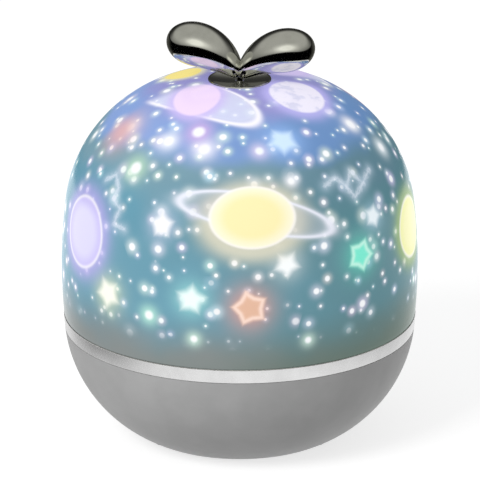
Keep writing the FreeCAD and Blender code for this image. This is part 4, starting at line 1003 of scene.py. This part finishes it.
def sproutMesh(settings):
    # a leaf, its twin half a turn round, both tilted the same way, and the stem under them
    grid, ends = leafGrid(settings)
    rows, columns = grid.shape[:2]
    quads = gridFaces(rows, columns)[:, [0, 3, 2, 1]]
    footFan = fanFaces(rows * columns, 0, columns)
    tipFan = fanFaces(rows * columns + 1, (rows - 1) * columns, columns)[:, [0, 2, 1]]
    leaf = np.concatenate([grid.reshape(-1, 3), ends])
    points, faces = [], []
    for half in (0.0, 180.0):
        side = swung(swung(leaf, "z", half), "y", settings["tilt"], (0.0, 0.0, settings["foot"][1]))
        offset = len(leaf) * len(points)
        points.append(side)
        for part in (quads, footFan, tipFan):
            faces += (part + offset).tolist()
    points = np.concatenate(points)
    rod, rodFaces = stemMesh(stem, len(points))
    points = swung(np.concatenate([points, rod]), "z", settings["turn"])
    return points, faces + rodFaces


stem = {"radius": 1.15, "bottom": 117.4, "top": 126.55, "easing": 0.2}


def stemMesh(settings, offset, around=32):
    # a plain round rod with its end edges eased: rings (radius cos t, radius sin t, height)
    radius, bottom, top, easing = [settings[key] for key in ("radius", "bottom", "top", "easing")]
    heights = np.array([bottom, bottom + easing, top - easing, top])[:, None]
    radii = np.array([radius - easing, radius, radius, radius - easing])[:, None]
    angle = np.linspace(0.0, 2.0 * np.pi, around, endpoint=False)
    rings = np.stack([radii * np.cos(angle), radii * np.sin(angle), heights + 0 * angle], axis=2)
    points = np.concatenate([rings.reshape(-1, 3), [[0, 0, bottom], [0, 0, top]]])
    count = len(heights)
    end = offset + count * around
    faces = (gridFaces(count, around) + offset).tolist()
    faces += fanFaces(end, offset, around)[:, [0, 2, 1]].tolist()
    faces += fanFaces(end + 1, end - around, around).tolist()
    return points, faces


chrome = chromeFinish(sprout)
points, faces = sproutMesh(sprout)
leaves = makeMesh("sproutLeaves", points * millimetre, faces, chrome)
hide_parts("sprout")
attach(leaves, "dome")

saucer = {
    "bore": 1.35,
    "bottom": 123.4,
    "radius": 10.7,
    "rimHeight": 124.5,
    "rimEasing": 0.4,
    "hollowBottom": 124.15,
    "hollowRadius": 65.2,
    "hollowAngles": (0.1524, 0.0207),
    "easing": 0.1,
}


def saucerOutline(settings):
    # a flat disc with a bore, a round rim, and a top hollowed by a wide sphere
    bore, bottom, high = settings["bore"], settings["bottom"], settings["rimHeight"]
    radius, rim, reach = settings["radius"], settings["rimEasing"], settings["hollowRadius"]
    down = -math.pi / 2
    outer, inner = settings["hollowAngles"]
    edge = arc(radius - rim, high, rim, 0.1, math.pi / 2, 6)
    hollow = arc(0.0, settings["hollowBottom"] + reach, reach, down + outer, down + inner, 12)
    outline = np.concatenate([[(bore, bottom), (radius, bottom), (radius, high)], edge, hollow])
    return eased(outline, settings["easing"])


dish = turned("sproutSaucer", saucerOutline(saucer), chrome, 160)
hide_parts("sprout_dish")
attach(dish, "dome")
print("sprout made")


# Finishes of the frame's own pieces


def shaded(colour, share):
    # the colour made darker or lighter
    return tuple(min(1.0, part * share) for part in colour[:3]) + (1.0,)


def mottled(name, colour, roughness, depth=0.02, grain=0.7, spread=0.06, **sockets):
    # moulded plastic: slow cloudy tone, a fine skin on the roughness, and a slight orange peel
    finish = Finish(name)
    place = finish.place()
    cloud = finish.noise(place, 14.0, 3.0, 0.55)
    tone = finish.mixed(cloud.step(0.3, 0.7), shaded(colour, 1.0 - spread), shaded(colour, 1.0 + spread))
    skin = finish.noise(place, grain, 2.0, 0.5)
    rough = skin * 0.1 + (roughness - 0.05)
    return finish.surface(Base_Color=tone, Roughness=rough, Normal=finish.bump(skin, depth), **sockets)


def brushed(name, colour, roughness, stretch):
    # drawn or turned metal: streaks that run along one axis
    finish = Finish(name)
    place = finish.place()
    streaks = finish.noise(finish.vector("MULTIPLY", place, stretch), 1.0, 4.0, 0.6)
    tone = finish.mixed(streaks.step(0.3, 0.7), shaded(colour, 0.86), colour)
    rough = streaks * 0.16 + (roughness - 0.08)
    return finish.surface(Base_Color=tone, Metallic=1.0, Roughness=rough, Normal=finish.bump(streaks, 0.01))


def clear(name, colour, roughness=0.03):
    # clear moulding with faint flow marks
    finish = Finish(name)
    along = finish.vector("MULTIPLY", finish.place(), (0.2, 0.2, 1.0))
    flow = finish.noise(along, 6.0, 2.0, 0.5)
    tone = finish.mixed(flow.step(0.3, 0.7), colour, (0.98, 0.99, 1.0, 1.0))
    rough = flow * 0.03 + roughness
    skin = finish.bump(flow, 0.02)
    return finish.surface(Base_Color=tone, Roughness=rough, Transmission_Weight=1.0, IOR=1.49, Normal=skin)


def printedFilm():
    # thin dark film that carries the same sky, drawn smaller
    finish = Finish("filmPrint")
    place = finish.place()
    colour = skyColour(finish, place, 1.26)
    dark = finish.mixed(0.45, colour, (0.02, 0.04, 0.09, 1.0))
    glow = finish.mixed(1.0, colour, grey(0.35), "MULTIPLY")
    return finish.surface(Base_Color=dark, Emission_Color=glow, Emission_Strength=1.0, Roughness=0.3)


def cellJacket():
    # plain shrink sleeve: dark body, copper-coloured end, soft waves of the wrap
    finish = Finish("cellSleeve")
    place = finish.place()
    x, y, z = finish.parts(place)
    wave = finish.noise(place, 2.5, 2.0, 0.5)
    band = (y + wave * 0.4).step(11.6, 11.9)
    tone = finish.mixed(band, paint(38, 48, 74), paint(186, 120, 70))
    return finish.surface(Base_Color=tone, Roughness=wave * 0.1 + 0.22, Normal=finish.bump(wave, 0.05))


def circuitBoard():
    # green mask over paler tracks, with small tinned pads on the usual pitch
    pitch = 2.54
    finish = Finish("boardMask")
    place = finish.place()
    x, y, z = finish.parts(place)
    rows = (x * 0.8 + finish.noise(place, 9.0, 0.0, 0.0) * 9.0).maths("PINGPONG", 1.0).step(0.42, 0.5)
    tone = finish.mixed(rows, paint(16, 92, 52), paint(32, 122, 72))
    sockets = {"Vector": place, "Scale": 1.0 / pitch, "Randomness": 0.0}
    away = finish.node("ShaderNodeTexVoronoi", {"feature": "F1"}, sockets, output="Distance") * pitch
    some = finish.noise(place, 8.0, 0.0, 0.0).step(0.52, 0.56)
    pads = away.step(0.62, 0.5) * some
    tone = finish.mixed(pads, tone, paint(206, 204, 196))
    rough = 0.36 - pads * 0.1
    return finish.surface(Base_Color=tone, Metallic=pads, Roughness=rough, Normal=finish.bump(rows, 0.03))


def lightFace():
    # yellow phosphor with a fine grain, lit
    finish = Finish("chipFace")
    place = finish.place()
    grain = finish.noise(place, 0.6, 2.0, 0.5)
    tone = finish.mixed(grain.step(0.3, 0.7), paint(255, 236, 150), paint(255, 246, 196))
    return finish.surface(Base_Color=tone, Emission_Color=tone, Emission_Strength=1.0, Roughness=0.4)


tones = {
    "bowl": paint(168, 168, 168),
    "white": paint(236, 236, 233),
    "rubber": paint(72, 73, 75),
    "steel": (0.62, 0.62, 0.63, 1.0),
    "nickel": (0.76, 0.75, 0.71, 1.0),
    "acetal": paint(240, 238, 228),
    "black": paint(30, 31, 33),
}

satinGrey = mottled("satinGrey", tones["bowl"], 0.42, depth=0.015, spread=0.05)
white = mottled("whiteMoulding", tones["white"], 0.45)
rubber = mottled("greyRubber", tones["rubber"], 0.8, depth=0.06, grain=0.4)
zinc = brushed("zincSteel", tones["steel"], 0.34, (2.0, 2.0, 0.3))
nickel = brushed("nickelSpring", tones["nickel"], 0.26, (2.0, 2.0, 0.4))
bright = brushed("brightSteel", (0.74, 0.74, 0.75, 1.0), 0.22, (3.0, 0.2, 3.0))
canSteel = brushed("motorCan", (0.66, 0.66, 0.67, 1.0), 0.34, (2.5, 2.5, 0.2))
acetal = mottled("acetalGear", tones["acetal"], 0.38, depth=0.01, grain=0.5, spread=0.03)
black = mottled("blackMoulding", tones["black"], 0.5)
buttonWhite = mottled("buttonWhite", paint(228, 230, 232), 0.24, depth=0.008, spread=0.02)
lampMask = mottled("lampMask", paint(240, 240, 236), 0.3, depth=0.01, spread=0.02)
redWire = mottled("redWire", paint(176, 38, 34), 0.4, grain=0.5)
yellowWire = mottled("yellowWire", paint(214, 170, 50), 0.4, grain=0.5)
coverClear = clear("coverClear", (0.95, 0.97, 0.99, 1.0))
lensClear = clear("lensClear", (0.97, 0.98, 0.99, 1.0), 0.05)
film = printedFilm()

sleeve = cellJacket()

finishes = [
    (satinGrey, ["base_bowl", "battery_door"]),
    (white, ["deck_plate", "battery_box", "gear_bracket", "turntable", "lamp_column"]),
    (rubber, ["rubber_feet"]),
    (zinc, ["case_screws", "board_screws", "bracket_screws"]),
    (sleeve, ["battery_cell_1", "battery_cell_2", "battery_cell_3"]),
    (nickel, ["contact_plates", "battery_springs"]),
    (circuitBoard(), ["control_board"]),
    (black, ["board_parts", "switch_housings", "light_switch_plunger", "colour_switch_plunger"]),
    (black, ["rotate_switch_plunger", "socket_tongue"]),
    (buttonWhite, ["light_button", "colour_button", "rotate_button"]),
    (bright, ["power_socket", "motor_shaft", "gear_axle", "sprout_washer", "sprout_nut"]),
    (canSteel, ["drive_motor"]),
    (acetal, ["motor_pinion", "reduction_gear", "ring_gear", "thrust_washer"]),
    (lampMask, ["lamp_board"]),
    (lightFace(), ["led_chips"]),
    (lensClear, ["lamp_lens"]),
    (coverClear, ["film_cover"]),
    (film, ["side_film", "top_film"]),
    (redWire, ["lamp_leads", "battery_leads"]),
    (yellowWire, ["motor_leads"]),
]

for material, names in finishes:
    for name in names:
        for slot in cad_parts[name].material_slots:
            slot.link = "OBJECT"
            slot.material = material
print("finishes set on", sum(len(names) for material, names in finishes), "nodes")
